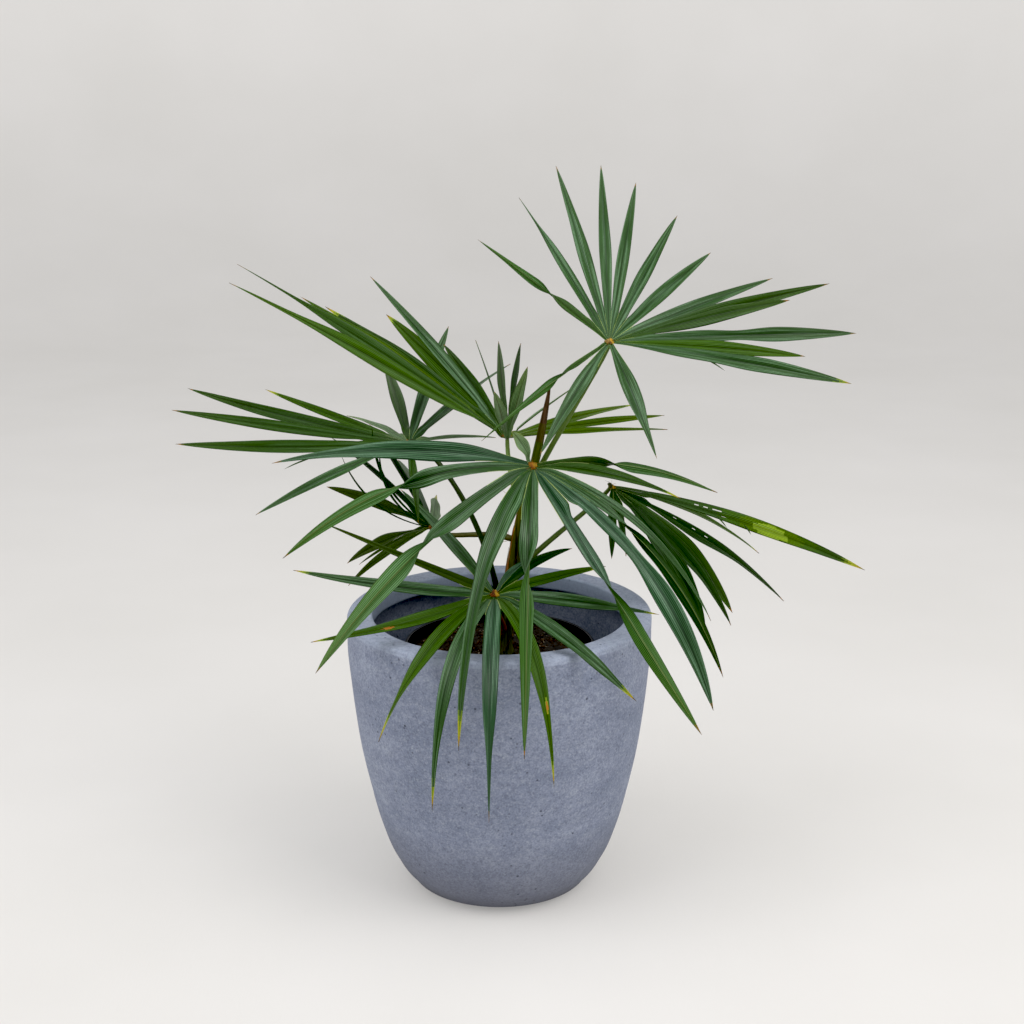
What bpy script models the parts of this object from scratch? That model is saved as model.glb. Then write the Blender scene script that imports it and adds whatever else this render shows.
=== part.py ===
"""Potted old man palm: a young fan palm in a black nursery pot, standing in a rounded fibre-clay planter.

Metres, +Z up, the planter's axis on Z and its flat underside on the ground. The front faces -Y.
"""

import math

import bpy
import numpy as np

# Planter
PLANTER_HEIGHT = 0.330
PLANTER_RADIUS = 0.175
MOUTH_RADIUS = 0.146
RIM_EDGE = 0.0045
LIP_DEPTH = 0.020
WALL = 0.014
FLOOR_THICKNESS = 0.020
# Outer radius at each height, as a share of the planter's radius and height
PLANTER_SWELL = (
    (0.000, 0.480), (0.009, 0.550), (0.038, 0.617), (0.117, 0.717), (0.232, 0.800),
    (0.347, 0.857), (0.500, 0.920), (0.655, 0.960), (0.770, 0.983), (0.900, 1.000),
)

# Nursery pot and soil
NURSERY_TOP_RADIUS = 0.110
NURSERY_BASE_RADIUS = 0.080
NURSERY_TOP = 0.291
NURSERY_WALL = 0.002
NURSERY_RIM = 0.004
SOIL_TOP = 0.279
SEAT = 0.0003

# Trunk: a slender stem that leans to the right
TRUNK_RADIUS = 0.0085
TRUNK_TOP_RADIUS = 0.0065
FLARE_RADIUS = 0.0135
FLARE_HEIGHT = 0.018
TRUNK_PATH = ((0.004, 0.0, SOIL_TOP + SEAT), (0.008, 0.0, 0.345), (0.019, 0.0, 0.415), (0.034, 0.0, 0.478))

# Spear: the leaf that has not opened yet
SPEAR_RADIUS = 0.0048
SPEAR_TIP = (0.057, -0.012, 0.600)

# Petioles
PETIOLE_BASE = 0.0042
PETIOLE_END = 0.0026
PETIOLE_SIDES = 8
PETIOLE_RINGS = 9

# Fronds
HUB_RADIUS = 0.008
HUB_THICKNESS = 0.0044
BLADE_WIDTH = 0.0225
BLADE_PROPORTION = 95
FOLD = 0.24
OPEN_GAP = 40
OPEN_RIM = 14
# Half a blade's width stays under this share of the space to its neighbour
CROWDING = 0.42
# The station where two blades part, and the places along the free part of a blade
SPLIT = 2
FREE_STATIONS = (0.18, 0.38, 0.60, 0.80, 0.93)

# Each frond: where its hub is, the compass heading, climb and roll of its middle line, how far out
# its blades are fused, and how much they arch. Each blade: its turn from the middle line and its
# lift out of the fan in degrees, its reach in centimetres, and its share of the fan's arch if not all.
FRONDS = {
    "right_high": dict(
        hub=(0.121, -0.020, 0.646), heading=62, climb=24, roll=-15, fused=0.045, arch=0.02,
        blades=((-140, -6, 17.5), (-76, -1, 26.5), (-67, -1, 21.5), (-57, -1, 28), (-44, 2, 22),
                (-36, -3, 30), (-28, -3, 24.5), (-9, -2, 22.5), (4, 4, 24), (17, 7, 27),
                (26, 9, 28.5), (37, 9, 28.5), (48, 5, 26), (65, 1, 23), (155, -16, 18.5),
                (180, -8, 18)),
    ),
    "front": dict(
        hub=(0.037, -0.050, 0.514), heading=-60, climb=-46, roll=0, fused=0.060, arch=0.12,
        blades=((-151, 25, 4.5), (-111, -19, 28.5, 1.2), (-88, -23, 29, 1.2), (-62, -21, 33, 0.5),
                (-32, -11, 33.5, 1.2), (-21, -7, 33.5, 0.5), (13, -3, 34.5, 0), (19, -4, 33, 0.75),
                (26, -4, 31, 0.8), (35, -4, 26, 0.8), (61, 9, 17, 0.7), (81, -12, 27, 0.7)),
    ),
    "front_low": dict(
        hub=(-0.005, -0.060, 0.369), heading=-90, climb=-35, roll=0, fused=0.040, arch=0.20,
        blades=((-141, 7, 17.5, 0.3), (-114, 5, 21.5, 0), (-94, 6, 22.5, -0.3), (-64, 11, 22, -0.3),
                (-30, 5, 23.8, 0.65), (-14, -8, 26.5), (-1, -11, 26.5), (15, -5, 24.5), (42, 9, 22.5, 0.3),
                (73, 11, 19, 0.2), (106, 2, 13, 0.2), (127, -1, 11), (143, -7, 7.5)),
    ),
    "left_low": dict(
        hub=(-0.078, 0.040, 0.417), heading=120, climb=10, roll=0, fused=0.040, arch=0.06,
        blades=((-30, -10, 16), (-17, -4, 24), (-6, 10, 23), (6, 6, 23.5), (20, -3, 17.5),
                (38, -35, 13), (75, -28, 9.5), (93, -27, 12)),
    ),
    "right_low": dict(
        hub=(0.128, 0.030, 0.469), heading=5, climb=-30, roll=-20, fused=0.050, arch=0.05,
        blades=((-73, -21, 9.5), (-55, -24, 8.5), (-27, -17, 19.5), (-15, -15, 21.5),
                (-6, -16, 21.5), (7, -9, 27.5, 0.7), (14, 3, 36, 0.6), (24, -9, 26)),
    ),
    "left": dict(
        hub=(-0.104, 0.050, 0.516), heading=150, climb=5, roll=0, fused=0.050, arch=0.04,
        blades=((-108, -5, 13.5), (-88, 12, 24.5), (-67, 18, 27), (-49, 8, 26), (-33, -6, 19),
                (-22, -9, 19), (-8, 3, 23.5, -0.5), (14, 5, 28, -1), (24, 2, 28, -0.5), (36, -3, 26.5, -1),
                (54, -23, 19.5, 0.6), (132, -35, 11.5)),
    ),
    "top": dict(
        hub=(0.009, 0.035, 0.526), heading=127, climb=0, roll=0, fused=0.050, arch=0.03,
        blades=((-131, 38, 10), (-111, -1, 19.5), (-96, 0, 22), (-79, 0, 23.5), (-42, 22, 20),
                (-34, 18, 23), (-26, 20, 22), (-14, 20, 21.5), (-3, 21, 29), (9, 35, 28),
                (20, 26, 29), (28, 28, 30.5), (36, 30, 30), (44, 31.5, 36.5), (52, 29.5, 35.7),
                (137, 32, 15), (153, 40, 16.5)),
    ),
}

# Where each petiole leaves the trunk: the height, the compass heading of that side, how far and how
# steeply it swings out, and how far it reaches under its hub as a share of its span
PETIOLES = {
    "right_high": dict(height=0.470, side=70, swing=0.030, steep=1.3, under=0.08),
    "front": dict(height=0.440, side=-70, swing=0.035, steep=1.3, under=0.30),
    "front_low": dict(height=0.310, side=-100, swing=0.020, steep=1.3, under=0.30),
    "left_low": dict(height=0.414, side=170, swing=0.030, steep=0.2, under=0.16),
    "right_low": dict(height=0.376, side=20, swing=0.040, steep=1.3, under=0.20),
    "left": dict(height=0.325, side=215, swing=0.140, steep=8.0, under=-0.12),
    "top": dict(height=0.458, side=165, swing=0.015, steep=1.3, under=0.30),
}


def clear_scene():
    for obj in list(bpy.data.objects):
        bpy.data.objects.remove(obj)


def material(name, colour, roughness):
    made = bpy.data.materials.new(name)
    made.use_nodes = True
    shader = made.node_tree.nodes["Principled BSDF"]
    shader.inputs["Base Color"].default_value = (*colour, 1.0)
    shader.inputs["Roughness"].default_value = roughness
    return made


def clay_material():
    return material("fibre_clay", (0.20, 0.22, 0.28), 0.75)


def plastic_material():
    return material("black_plastic", (0.012, 0.013, 0.014), 0.45)


def soil_material():
    return material("potting_soil", (0.030, 0.020, 0.013), 0.95)


def bark_material():
    return material("fibrous_bark", (0.115, 0.095, 0.045), 0.85)


def petiole_material():
    return material("green_petiole", (0.070, 0.120, 0.030), 0.50)


def spear_material():
    return material("folded_spear", (0.085, 0.055, 0.035), 0.55)


def leaf_material():
    return material("palm_leaf", (0.035, 0.095, 0.045), 0.45)


def add_object(name, points, faces, made_of, smooth):
    mesh = bpy.data.meshes.new(name)
    mesh.from_pydata([tuple(map(float, point)) for point in points], [], faces)
    mesh.update()
    for polygon in mesh.polygons:
        polygon.use_smooth = smooth
    obj = bpy.data.objects.new(name, mesh)
    obj.data.materials.append(made_of)
    bpy.context.scene.collection.objects.link(obj)
    return obj


def revolve(name, profile, sides, made_of):
    """A solid of revolution. The profile runs from the axis at the bottom, round the outside, to the axis."""
    points = []
    rings = []
    for radius, height in profile:
        if radius == 0:
            rings.append([len(points)])
            points.append((0, 0, height))
            continue
        rings.append(list(range(len(points), len(points) + sides)))
        for step in range(sides):
            angle = 2 * math.pi * step / sides
            points.append((radius * math.cos(angle), radius * math.sin(angle), height))
    faces = []
    for low, high in zip(rings, rings[1:]):
        for step in range(sides):
            after = (step + 1) % sides
            if len(low) == 1:
                faces.append((low[0], high[after], high[step]))
            elif len(high) == 1:
                faces.append((low[step], low[after], high[0]))
            else:
                faces.append((low[step], low[after], high[after], high[step]))
    return add_object(name, points, faces, made_of, True)


def planter_profile():
    outside = [(PLANTER_RADIUS * share, PLANTER_HEIGHT * height) for height, share in PLANTER_SWELL]
    top = PLANTER_HEIGHT
    inside = [
        (radius - WALL, height)
        for radius, height in reversed(outside)
        if FLOOR_THICKNESS < height < top - LIP_DEPTH - 0.01
    ]
    rim = [
        (PLANTER_RADIUS, top - RIM_EDGE),
        (PLANTER_RADIUS - 0.3 * RIM_EDGE, top - 0.3 * RIM_EDGE),
        (PLANTER_RADIUS - RIM_EDGE, top),
        (MOUTH_RADIUS + 0.5 * RIM_EDGE, top),
        (MOUTH_RADIUS, top - 0.5 * RIM_EDGE),
        (MOUTH_RADIUS, top - LIP_DEPTH),
        (PLANTER_RADIUS - WALL, top - LIP_DEPTH - 0.002),
    ]
    floor = [(NURSERY_BASE_RADIUS + 0.012, FLOOR_THICKNESS), (0, FLOOR_THICKNESS)]
    return [(0, 0)] + outside + rim + inside + floor


def nursery_profile():
    base = FLOOR_THICKNESS + SEAT
    inner_base = base + NURSERY_WALL
    inner_top = NURSERY_TOP_RADIUS - NURSERY_RIM
    return [
        (0, base),
        (NURSERY_BASE_RADIUS, base),
        (inner_top + NURSERY_WALL, NURSERY_TOP - 0.012),
        (NURSERY_TOP_RADIUS, NURSERY_TOP - 0.011),
        (NURSERY_TOP_RADIUS, NURSERY_TOP),
        (inner_top, NURSERY_TOP),
        (inner_top, NURSERY_TOP - 0.013),
        (NURSERY_BASE_RADIUS - NURSERY_WALL, inner_base),
        (0, inner_base),
    ]


def soil_profile():
    bottom = FLOOR_THICKNESS + SEAT + NURSERY_WALL + SEAT
    side = NURSERY_TOP_RADIUS - NURSERY_RIM - 2 * SEAT
    return [
        (0, bottom),
        (NURSERY_BASE_RADIUS - NURSERY_WALL - 3 * SEAT, bottom),
        (side, NURSERY_TOP - 0.013),
        (side, SOIL_TOP - 0.0005),
        (0.6 * side, SOIL_TOP),
        (0, SOIL_TOP),
    ]


def unit(vector):
    return vector / np.linalg.norm(vector)


def square_to(vector, line):
    """The part of a vector that is square to a line, at unit length."""
    return unit(vector - np.dot(vector, line) * line)


def curve_through(corners, t):
    """A point on the Bezier curve of these corners."""
    corners = [np.array(corner, float) for corner in corners]
    while len(corners) > 1:
        corners = [a + (b - a) * t for a, b in zip(corners, corners[1:])]
    return corners[0]


def limb(name, centres, radii, first_facing, last_facing, sides, made_of):
    """A tapering limb with flat ends. Each end lies square to its facing."""
    centres = [np.array(centre, float) for centre in centres]
    last = len(centres) - 1
    points = []
    across = square_to(np.array((0.31, -0.95, 0.07)), first_facing)
    for index, centre in enumerate(centres):
        facing = centres[min(index + 1, last)] - centres[max(index - 1, 0)]
        facing = unit((first_facing, facing, last_facing)[(index > 0) + (index == last)])
        across = square_to(across, facing)
        other = np.cross(facing, across)
        for step in range(sides):
            angle = 2 * math.pi * step / sides
            points.append(centre + radii[index] * (math.cos(angle) * across + math.sin(angle) * other))
    faces = [tuple(reversed(range(sides)))]
    for index in range(last):
        low = index * sides
        for step in range(sides):
            after = (step + 1) % sides
            faces.append((low + step, low + after, low + sides + after, low + sides + step))
    faces.append(tuple(range(last * sides, (last + 1) * sides)))
    return add_object(name, points, faces, made_of, True)


def trunk_point(t):
    return curve_through(TRUNK_PATH, t)


def trunk_radius(t):
    height = t * (TRUNK_PATH[-1][2] - TRUNK_PATH[0][2])
    flare = (FLARE_RADIUS - TRUNK_RADIUS) * math.exp(-height / FLARE_HEIGHT * 1.6)
    return TRUNK_RADIUS + (TRUNK_TOP_RADIUS - TRUNK_RADIUS) * t + flare


def trunk_place(height):
    """How far along the trunk this height is."""
    low, high = 0.0, 1.0
    for _ in range(30):
        middle = 0.5 * (low + high)
        if trunk_point(middle)[2] < height:
            low = middle
        else:
            high = middle
    return low


def add_trunk(made_of):
    places = (0, 0.03, 0.08, 0.18, 0.34, 0.52, 0.70, 0.86, 1)
    up = np.array((0.0, 0.0, 1.0))
    top = unit(trunk_point(1) - trunk_point(0.97))
    return limb("trunk", [trunk_point(t) for t in places], [trunk_radius(t) for t in places], up, top, 12, made_of)


def add_spear(made_of):
    top = unit(trunk_point(1) - trunk_point(0.97))
    start = trunk_point(1) + SEAT * top
    tip = np.array(SPEAR_TIP)
    bend = start + 0.5 * np.linalg.norm(tip - start) * top
    places = (0, 0.15, 0.35, 0.55, 0.75, 0.90, 1)
    shares = (0.75, 1.0, 1.0, 0.86, 0.62, 0.36, 0.10)
    centres = [curve_through((start, bend, tip), t) for t in places]
    radii = [SPEAR_RADIUS * share for share in shares]
    return limb("spear", centres, radii, top, tip - centres[-2], 8, made_of)


def fan_frame(frond):
    """The middle line of a fan, its left side and its upper face, as unit vectors."""
    heading, climb, roll = (math.radians(frond[key]) for key in ("heading", "climb", "roll"))
    flat = np.array((math.cos(heading), math.sin(heading), 0.0))
    up = np.array((0.0, 0.0, 1.0))
    along = math.cos(climb) * flat + math.sin(climb) * up
    face = math.cos(climb) * up - math.sin(climb) * flat
    face = math.cos(roll) * face + math.sin(roll) * np.cross(face, along)
    return along, np.cross(face, along), face


def compass(heading):
    return np.array((math.cos(math.radians(heading)), math.sin(math.radians(heading)), 0.0))


def add_petiole(name, made_of):
    frond = FRONDS[name]
    petiole = PETIOLES[name]
    _, _, face = fan_frame(frond)
    hub = np.array(frond["hub"])
    place = trunk_place(petiole["height"])
    stem = unit(trunk_point(place) - trunk_point(place - 0.02))
    side = square_to(compass(petiole["side"]), stem)
    start = trunk_point(place) + (trunk_radius(place) + 2 * SEAT) * side
    end = hub - (0.5 * HUB_THICKNESS + SEAT) * face
    rise = side + np.array((0.0, 0.0, petiole["steep"]))
    under = petiole["under"] * np.linalg.norm(end - start)
    corners = (start, start + petiole["swing"] * unit(rise), end - under * face, end)
    places = [step / (PETIOLE_RINGS - 1) for step in range(PETIOLE_RINGS)]
    centres = [curve_through(corners, t) for t in places]
    radii = [PETIOLE_BASE + (PETIOLE_END - PETIOLE_BASE) * t ** 0.7 for t in places]
    return limb("petiole_" + name, centres, radii, side, face, PETIOLE_SIDES, made_of)


class Blade:
    """One leaflet: its curve from the hub to the tip, and its width and thickness along that curve."""

    def __init__(self, frond, turn, lift, reach, bend=1):
        self.along, self.left, self.face = fan_frame(frond)
        self.hub = np.array(frond["hub"])
        self.turn = turn
        self.reach = reach / 100
        self.split = min(frond["fused"], 0.4 * self.reach)
        lift = math.radians(lift)
        self.chord = self.reach * (math.cos(lift) * self.level(turn) + math.sin(lift) * self.face)
        hang = max(0.0, -self.chord[2] / self.reach)
        arch = bend * frond["arch"] * (0.4 + 1.2 * hang)
        self.rise = 4 * arch * self.reach * square_to(np.array((0.0, 0.0, 1.0)), unit(self.chord))
        self.radii = [HUB_RADIUS, 0.5 * (HUB_RADIUS + self.split), self.split]
        self.radii += [self.split + u * (self.reach - self.split) for u in FREE_STATIONS]
        self.radii.append(self.reach)

    def level(self, turn):
        """The direction in the plane of the fan at this turn."""
        turn = math.radians(turn)
        return math.cos(turn) * self.along + math.sin(turn) * self.left

    def centre(self, radius):
        if radius <= HUB_RADIUS:
            return self.hub + radius * self.level(self.turn)
        t = min(1.0, radius / self.reach)
        return self.hub + t * self.chord + t * (1 - t) * self.rise

    def line(self, radius):
        return unit(self.chord + (1 - 2 * min(1.0, radius / self.reach)) * self.rise)

    def normal(self, radius):
        return self.face if radius <= HUB_RADIUS else square_to(self.face, self.line(radius))

    def side(self, radius):
        return np.cross(self.normal(radius), self.line(radius))

    def edge(self, radius, half, side):
        """A point of the left edge (side 1) or the right edge (side -1)."""
        return self.centre(radius) + half * (side * self.side(radius) + FOLD * self.normal(radius))

    def half_width(self, radius, start):
        """Half the width past the split, swelling from its width there and tapering to the tip."""
        u = (radius - self.split) / (self.reach - self.split)
        full = 0.5 * BLADE_WIDTH * min(1.0, 0.4 + self.reach / 0.40)
        return (start + (full - start) * min(1.0, u / 0.35)) * (1 - u) ** 0.75 * (1 + 0.6 * u)

    def thickness(self, radius):
        return max(self.reach / BLADE_PROPORTION, 0.0016) if radius < self.reach else 0.0011


def spacing(one, other, radius):
    """How far apart two blades are at this radius, in the plane of the fan."""
    apart = one.centre(radius) - other.centre(radius)
    return np.linalg.norm(apart - np.dot(apart, one.face) * one.face)


class FanSolid:
    """A fan whose leaflets share their edges as far as the split between them."""

    def __init__(self, frond):
        self.points = []
        self.faces = []
        self.blades = [Blade(frond, *row) for row in frond["blades"]]
        count = len(self.blades)
        turns = [blade.turn for blade in self.blades]
        self.gaps = [(turns[(i + 1) % count] - turns[i]) % 360 for i in range(count)]
        self.joined = [gap < OPEN_GAP for gap in self.gaps]
        self.left = [[] for _ in self.blades]
        self.right = [[] for _ in self.blades]
        self.start = {}
        self.middle = [
            [self.put(blade.centre(r), blade.normal(r), blade.thickness(r)) for r in blade.radii]
            for blade in self.blades
        ]
        self.hub = self.put(self.blades[0].hub, self.blades[0].face, HUB_THICKNESS)
        for i in range(count):
            self.inner_edges(i, (i + 1) % count)
        for i in range(count):
            self.free_edges(i, self.left[i], 1, (i + 1) % count)
            self.free_edges(i, self.right[i], -1, i - 1)
        for i in range(count):
            self.cover(i)
            self.cut_edges(i)
            if not self.joined[i]:
                self.hub_rim(i, (i + 1) % count)

    def put(self, point, normal, thickness):
        """A point of the upper side and, under it, its twin on the underside."""
        self.points.extend((point + 0.5 * thickness * normal, point - 0.5 * thickness * normal))
        return len(self.points) - 2

    def sheet(self, *corners):
        """Triangles on the upper side and their twins on the underside."""
        first = corners[0]
        for second, third in zip(corners[1:], corners[2:]):
            self.faces.append((first, second, third))
            self.faces.append((third + 1, second + 1, first + 1))

    def wall(self, a, b):
        """The cut edge from a to b, with the leaf on the left of it."""
        self.faces.append((a + 1, b + 1, b, a))

    def inner_edges(self, i, after):
        """The edges from the hub to the split on the left of one blade and the right of the next."""
        one, other = self.blades[i], self.blades[after]
        thin = 0.6 * min(one.thickness(0), other.thickness(0))
        if not self.joined[i]:
            for blade, side, edge in ((one, 1, self.left[i]), (other, -1, self.right[after])):
                rim = HUB_RADIUS * blade.level(blade.turn + side * OPEN_RIM)
                edge.append(self.put(blade.hub + rim, blade.face, thin))
                for radius in blade.radii[1:SPLIT + 1]:
                    edge.append(self.put(blade.edge(radius, 0.2 * radius, side), blade.normal(radius), thin))
                self.start[id(edge)] = 0.2 * blade.split
            return
        angle = math.acos(np.dot(unit(one.chord), unit(other.chord)))
        split = max(2 * HUB_RADIUS, min(one.split, other.split, 0.9 * BLADE_WIDTH / angle))
        rim = one.hub + HUB_RADIUS * one.level(one.turn + 0.5 * self.gaps[i])
        shared = [self.put(rim, one.face, thin)]
        for radius in (0.5 * (HUB_RADIUS + split), split):
            normal = unit(one.normal(radius) + other.normal(radius))
            half = 0.5 * spacing(one, other, radius)
            ridge = 0.5 * (one.centre(radius) + other.centre(radius)) + FOLD * half * normal
            shared.append(self.put(ridge, normal, thin))
        for edge in (self.left[i], self.right[after]):
            edge.extend(shared)
            self.start[id(edge)] = half

    def free_edges(self, i, edge, side, near):
        blade, other = self.blades[i], self.blades[near]
        for radius in blade.radii[SPLIT + 1:-1]:
            half = blade.half_width(radius, self.start[id(edge)])
            if radius < other.reach:
                half = min(half, CROWDING * spacing(blade, other, radius))
            edge.append(self.put(blade.edge(radius, half, side), blade.normal(radius), 0.6 * blade.thickness(0)))

    def cover(self, i):
        left, middle, right = self.left[i], self.middle[i], self.right[i]
        self.sheet(self.hub, right[0], middle[0])
        self.sheet(self.hub, middle[0], left[0])
        for k in range(len(left) - 1):
            self.sheet(right[k], right[k + 1], middle[k + 1], middle[k])
            self.sheet(middle[k], middle[k + 1], left[k + 1], left[k])
        self.sheet(right[-1], middle[-1], middle[-2])
        self.sheet(middle[-2], middle[-1], left[-1])

    def cut_edges(self, i):
        right = self.right[i][SPLIT if self.joined[i - 1] else 0:]
        left = self.left[i][SPLIT if self.joined[i] else 0:]
        outline = right + [self.middle[i][-1]] + left[::-1]
        for a, b in zip(outline, outline[1:]):
            self.wall(a, b)

    def hub_rim(self, i, after):
        """The rim of the hub where no blade grows."""
        blade = self.blades[i]
        wide = self.gaps[i] - 2 * OPEN_RIM
        steps = max(1, round(wide / 40))
        rim = [self.left[i][0]]
        for step in range(1, steps):
            level = blade.level(blade.turn + OPEN_RIM + wide * step / steps)
            rim.append(self.put(blade.hub + HUB_RADIUS * level, blade.face, 0.002))
        rim.append(self.right[after][0])
        for a, b in zip(rim, rim[1:]):
            self.sheet(self.hub, a, b)
            self.wall(a, b)


def add_frond(name, made_of):
    fan = FanSolid(FRONDS[name])
    return add_object("frond_" + name, fan.points, fan.faces, made_of, False)


def main():
    clear_scene()
    revolve("planter", planter_profile(), 56, clay_material())
    revolve("nursery_pot", nursery_profile(), 40, plastic_material())
    revolve("soil", soil_profile(), 40, soil_material())
    add_trunk(bark_material())
    add_spear(spear_material())
    petiole_green = petiole_material()
    leaf_green = leaf_material()
    for name in FRONDS:
        add_petiole(name, petiole_green)
        add_frond(name, leaf_green)


main()
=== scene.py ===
"""The looks of the potted old man palm: planter, soil, young trunk, stalks and seven fan leaves."""

import math

import bpy
import numpy as np
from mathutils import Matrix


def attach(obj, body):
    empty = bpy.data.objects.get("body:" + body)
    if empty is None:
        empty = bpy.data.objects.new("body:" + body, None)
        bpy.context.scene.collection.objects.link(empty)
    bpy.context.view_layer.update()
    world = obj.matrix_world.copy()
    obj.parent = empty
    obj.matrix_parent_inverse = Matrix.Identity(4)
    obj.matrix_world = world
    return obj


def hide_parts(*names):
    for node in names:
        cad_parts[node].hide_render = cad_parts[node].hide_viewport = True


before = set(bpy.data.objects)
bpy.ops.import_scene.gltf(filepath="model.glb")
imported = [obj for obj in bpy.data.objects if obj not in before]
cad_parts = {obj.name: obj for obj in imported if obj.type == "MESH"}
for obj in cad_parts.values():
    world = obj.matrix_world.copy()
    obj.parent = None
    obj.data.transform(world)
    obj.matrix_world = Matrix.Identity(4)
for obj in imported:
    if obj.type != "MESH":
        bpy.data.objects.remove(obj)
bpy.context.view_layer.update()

UP = np.array((0.0, 0.0, 1.0))

# ---------- sizes, in metres
PLANTER_HEIGHT = 0.330
PLANTER_RADIUS = 0.175
MOUTH_RADIUS = 0.146
RIM_EDGE = 0.0045
LIP_DEPTH = 0.020
WALL = 0.014
FLOOR_THICKNESS = 0.020
# The planter's outside: shares of its height and of its radius
PLANTER_SWELL = (
    (0.000, 0.480), (0.009, 0.550), (0.038, 0.617), (0.117, 0.717), (0.232, 0.800),
    (0.347, 0.857), (0.500, 0.920), (0.655, 0.960), (0.770, 0.983), (0.900, 1.000),
)
RIM_BAND = 0.0175
MOUTH_EDGE = 0.003
LIP_EDGE = 0.004
PLANTER_SIDES = 256

# The nursery pot inside the planter, and its soil
POT_RADIUS = 0.110
POT_BASE = 0.080
POT_TOP = 0.291
POT_WALL = 0.002
POT_RIM = 0.004
SOIL_TOP = 0.279
SEAT = 0.0003
SOIL_LUMP = 0.0012
SOIL_SIDES = 180
# Crumbs on the soil: how many, their size, dark and light colour
CRUMBS = {
    "soil_crumb": (1500, 0.0013, (26, 20, 15), (78, 62, 47)),
    "bark_chip": (260, 0.0026, (40, 29, 20), (104, 80, 58)),
    "pale_grain": (110, 0.0010, (150, 136, 112), (204, 190, 164)),
}

TRUNK_RADIUS = 0.0085
TRUNK_TOP_RADIUS = 0.0065
FLARE_RADIUS = 0.0135
FLARE_HEIGHT = 0.018
TRUNK_PATH = ((0.004, 0.0, SOIL_TOP + SEAT), (0.008, 0.0, 0.345), (0.019, 0.0, 0.415), (0.034, 0.0, 0.478))
SPEAR_RADIUS = 0.0048
SPEAR_TIP = (0.057, -0.012, 0.600)
SPEAR_SHAPE = (
    (0, 0.75), (0.15, 0.98), (0.35, 1.0), (0.55, 0.86), (0.75, 0.62), (0.90, 0.36), (0.97, 0.16), (1, 0.05),
)
PETIOLE_BASE = 0.0042
PETIOLE_END = 0.0026
TRUNK_HAIRS = 22
COLLAR_HAIRS = 7
HUB_HAIRS = 20
HAIR_SIDES = 4

HUB_RADIUS = 0.008
HUB_THICKNESS = 0.0044
BLADE_WIDTH = 0.0225
# How far a blade's edges rise for its width. Blades this many degrees apart aren't joined. Joined ones part
# where they are this share of a blade's width from each other
FOLD = 0.24
OPEN_GAP = 40
PARTING = 0.50
LEAF_THICKNESS = 0.0005
RIB_THICKNESS = 0.0011
LOOSE_START = 0.0022
TWIST_PLACE = 0.55
TWIST_SPREAD = 12
TWIST_REACH = 0.16
WAIST_REACH = 0.10
SETTLE_PASSES = 14

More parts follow.
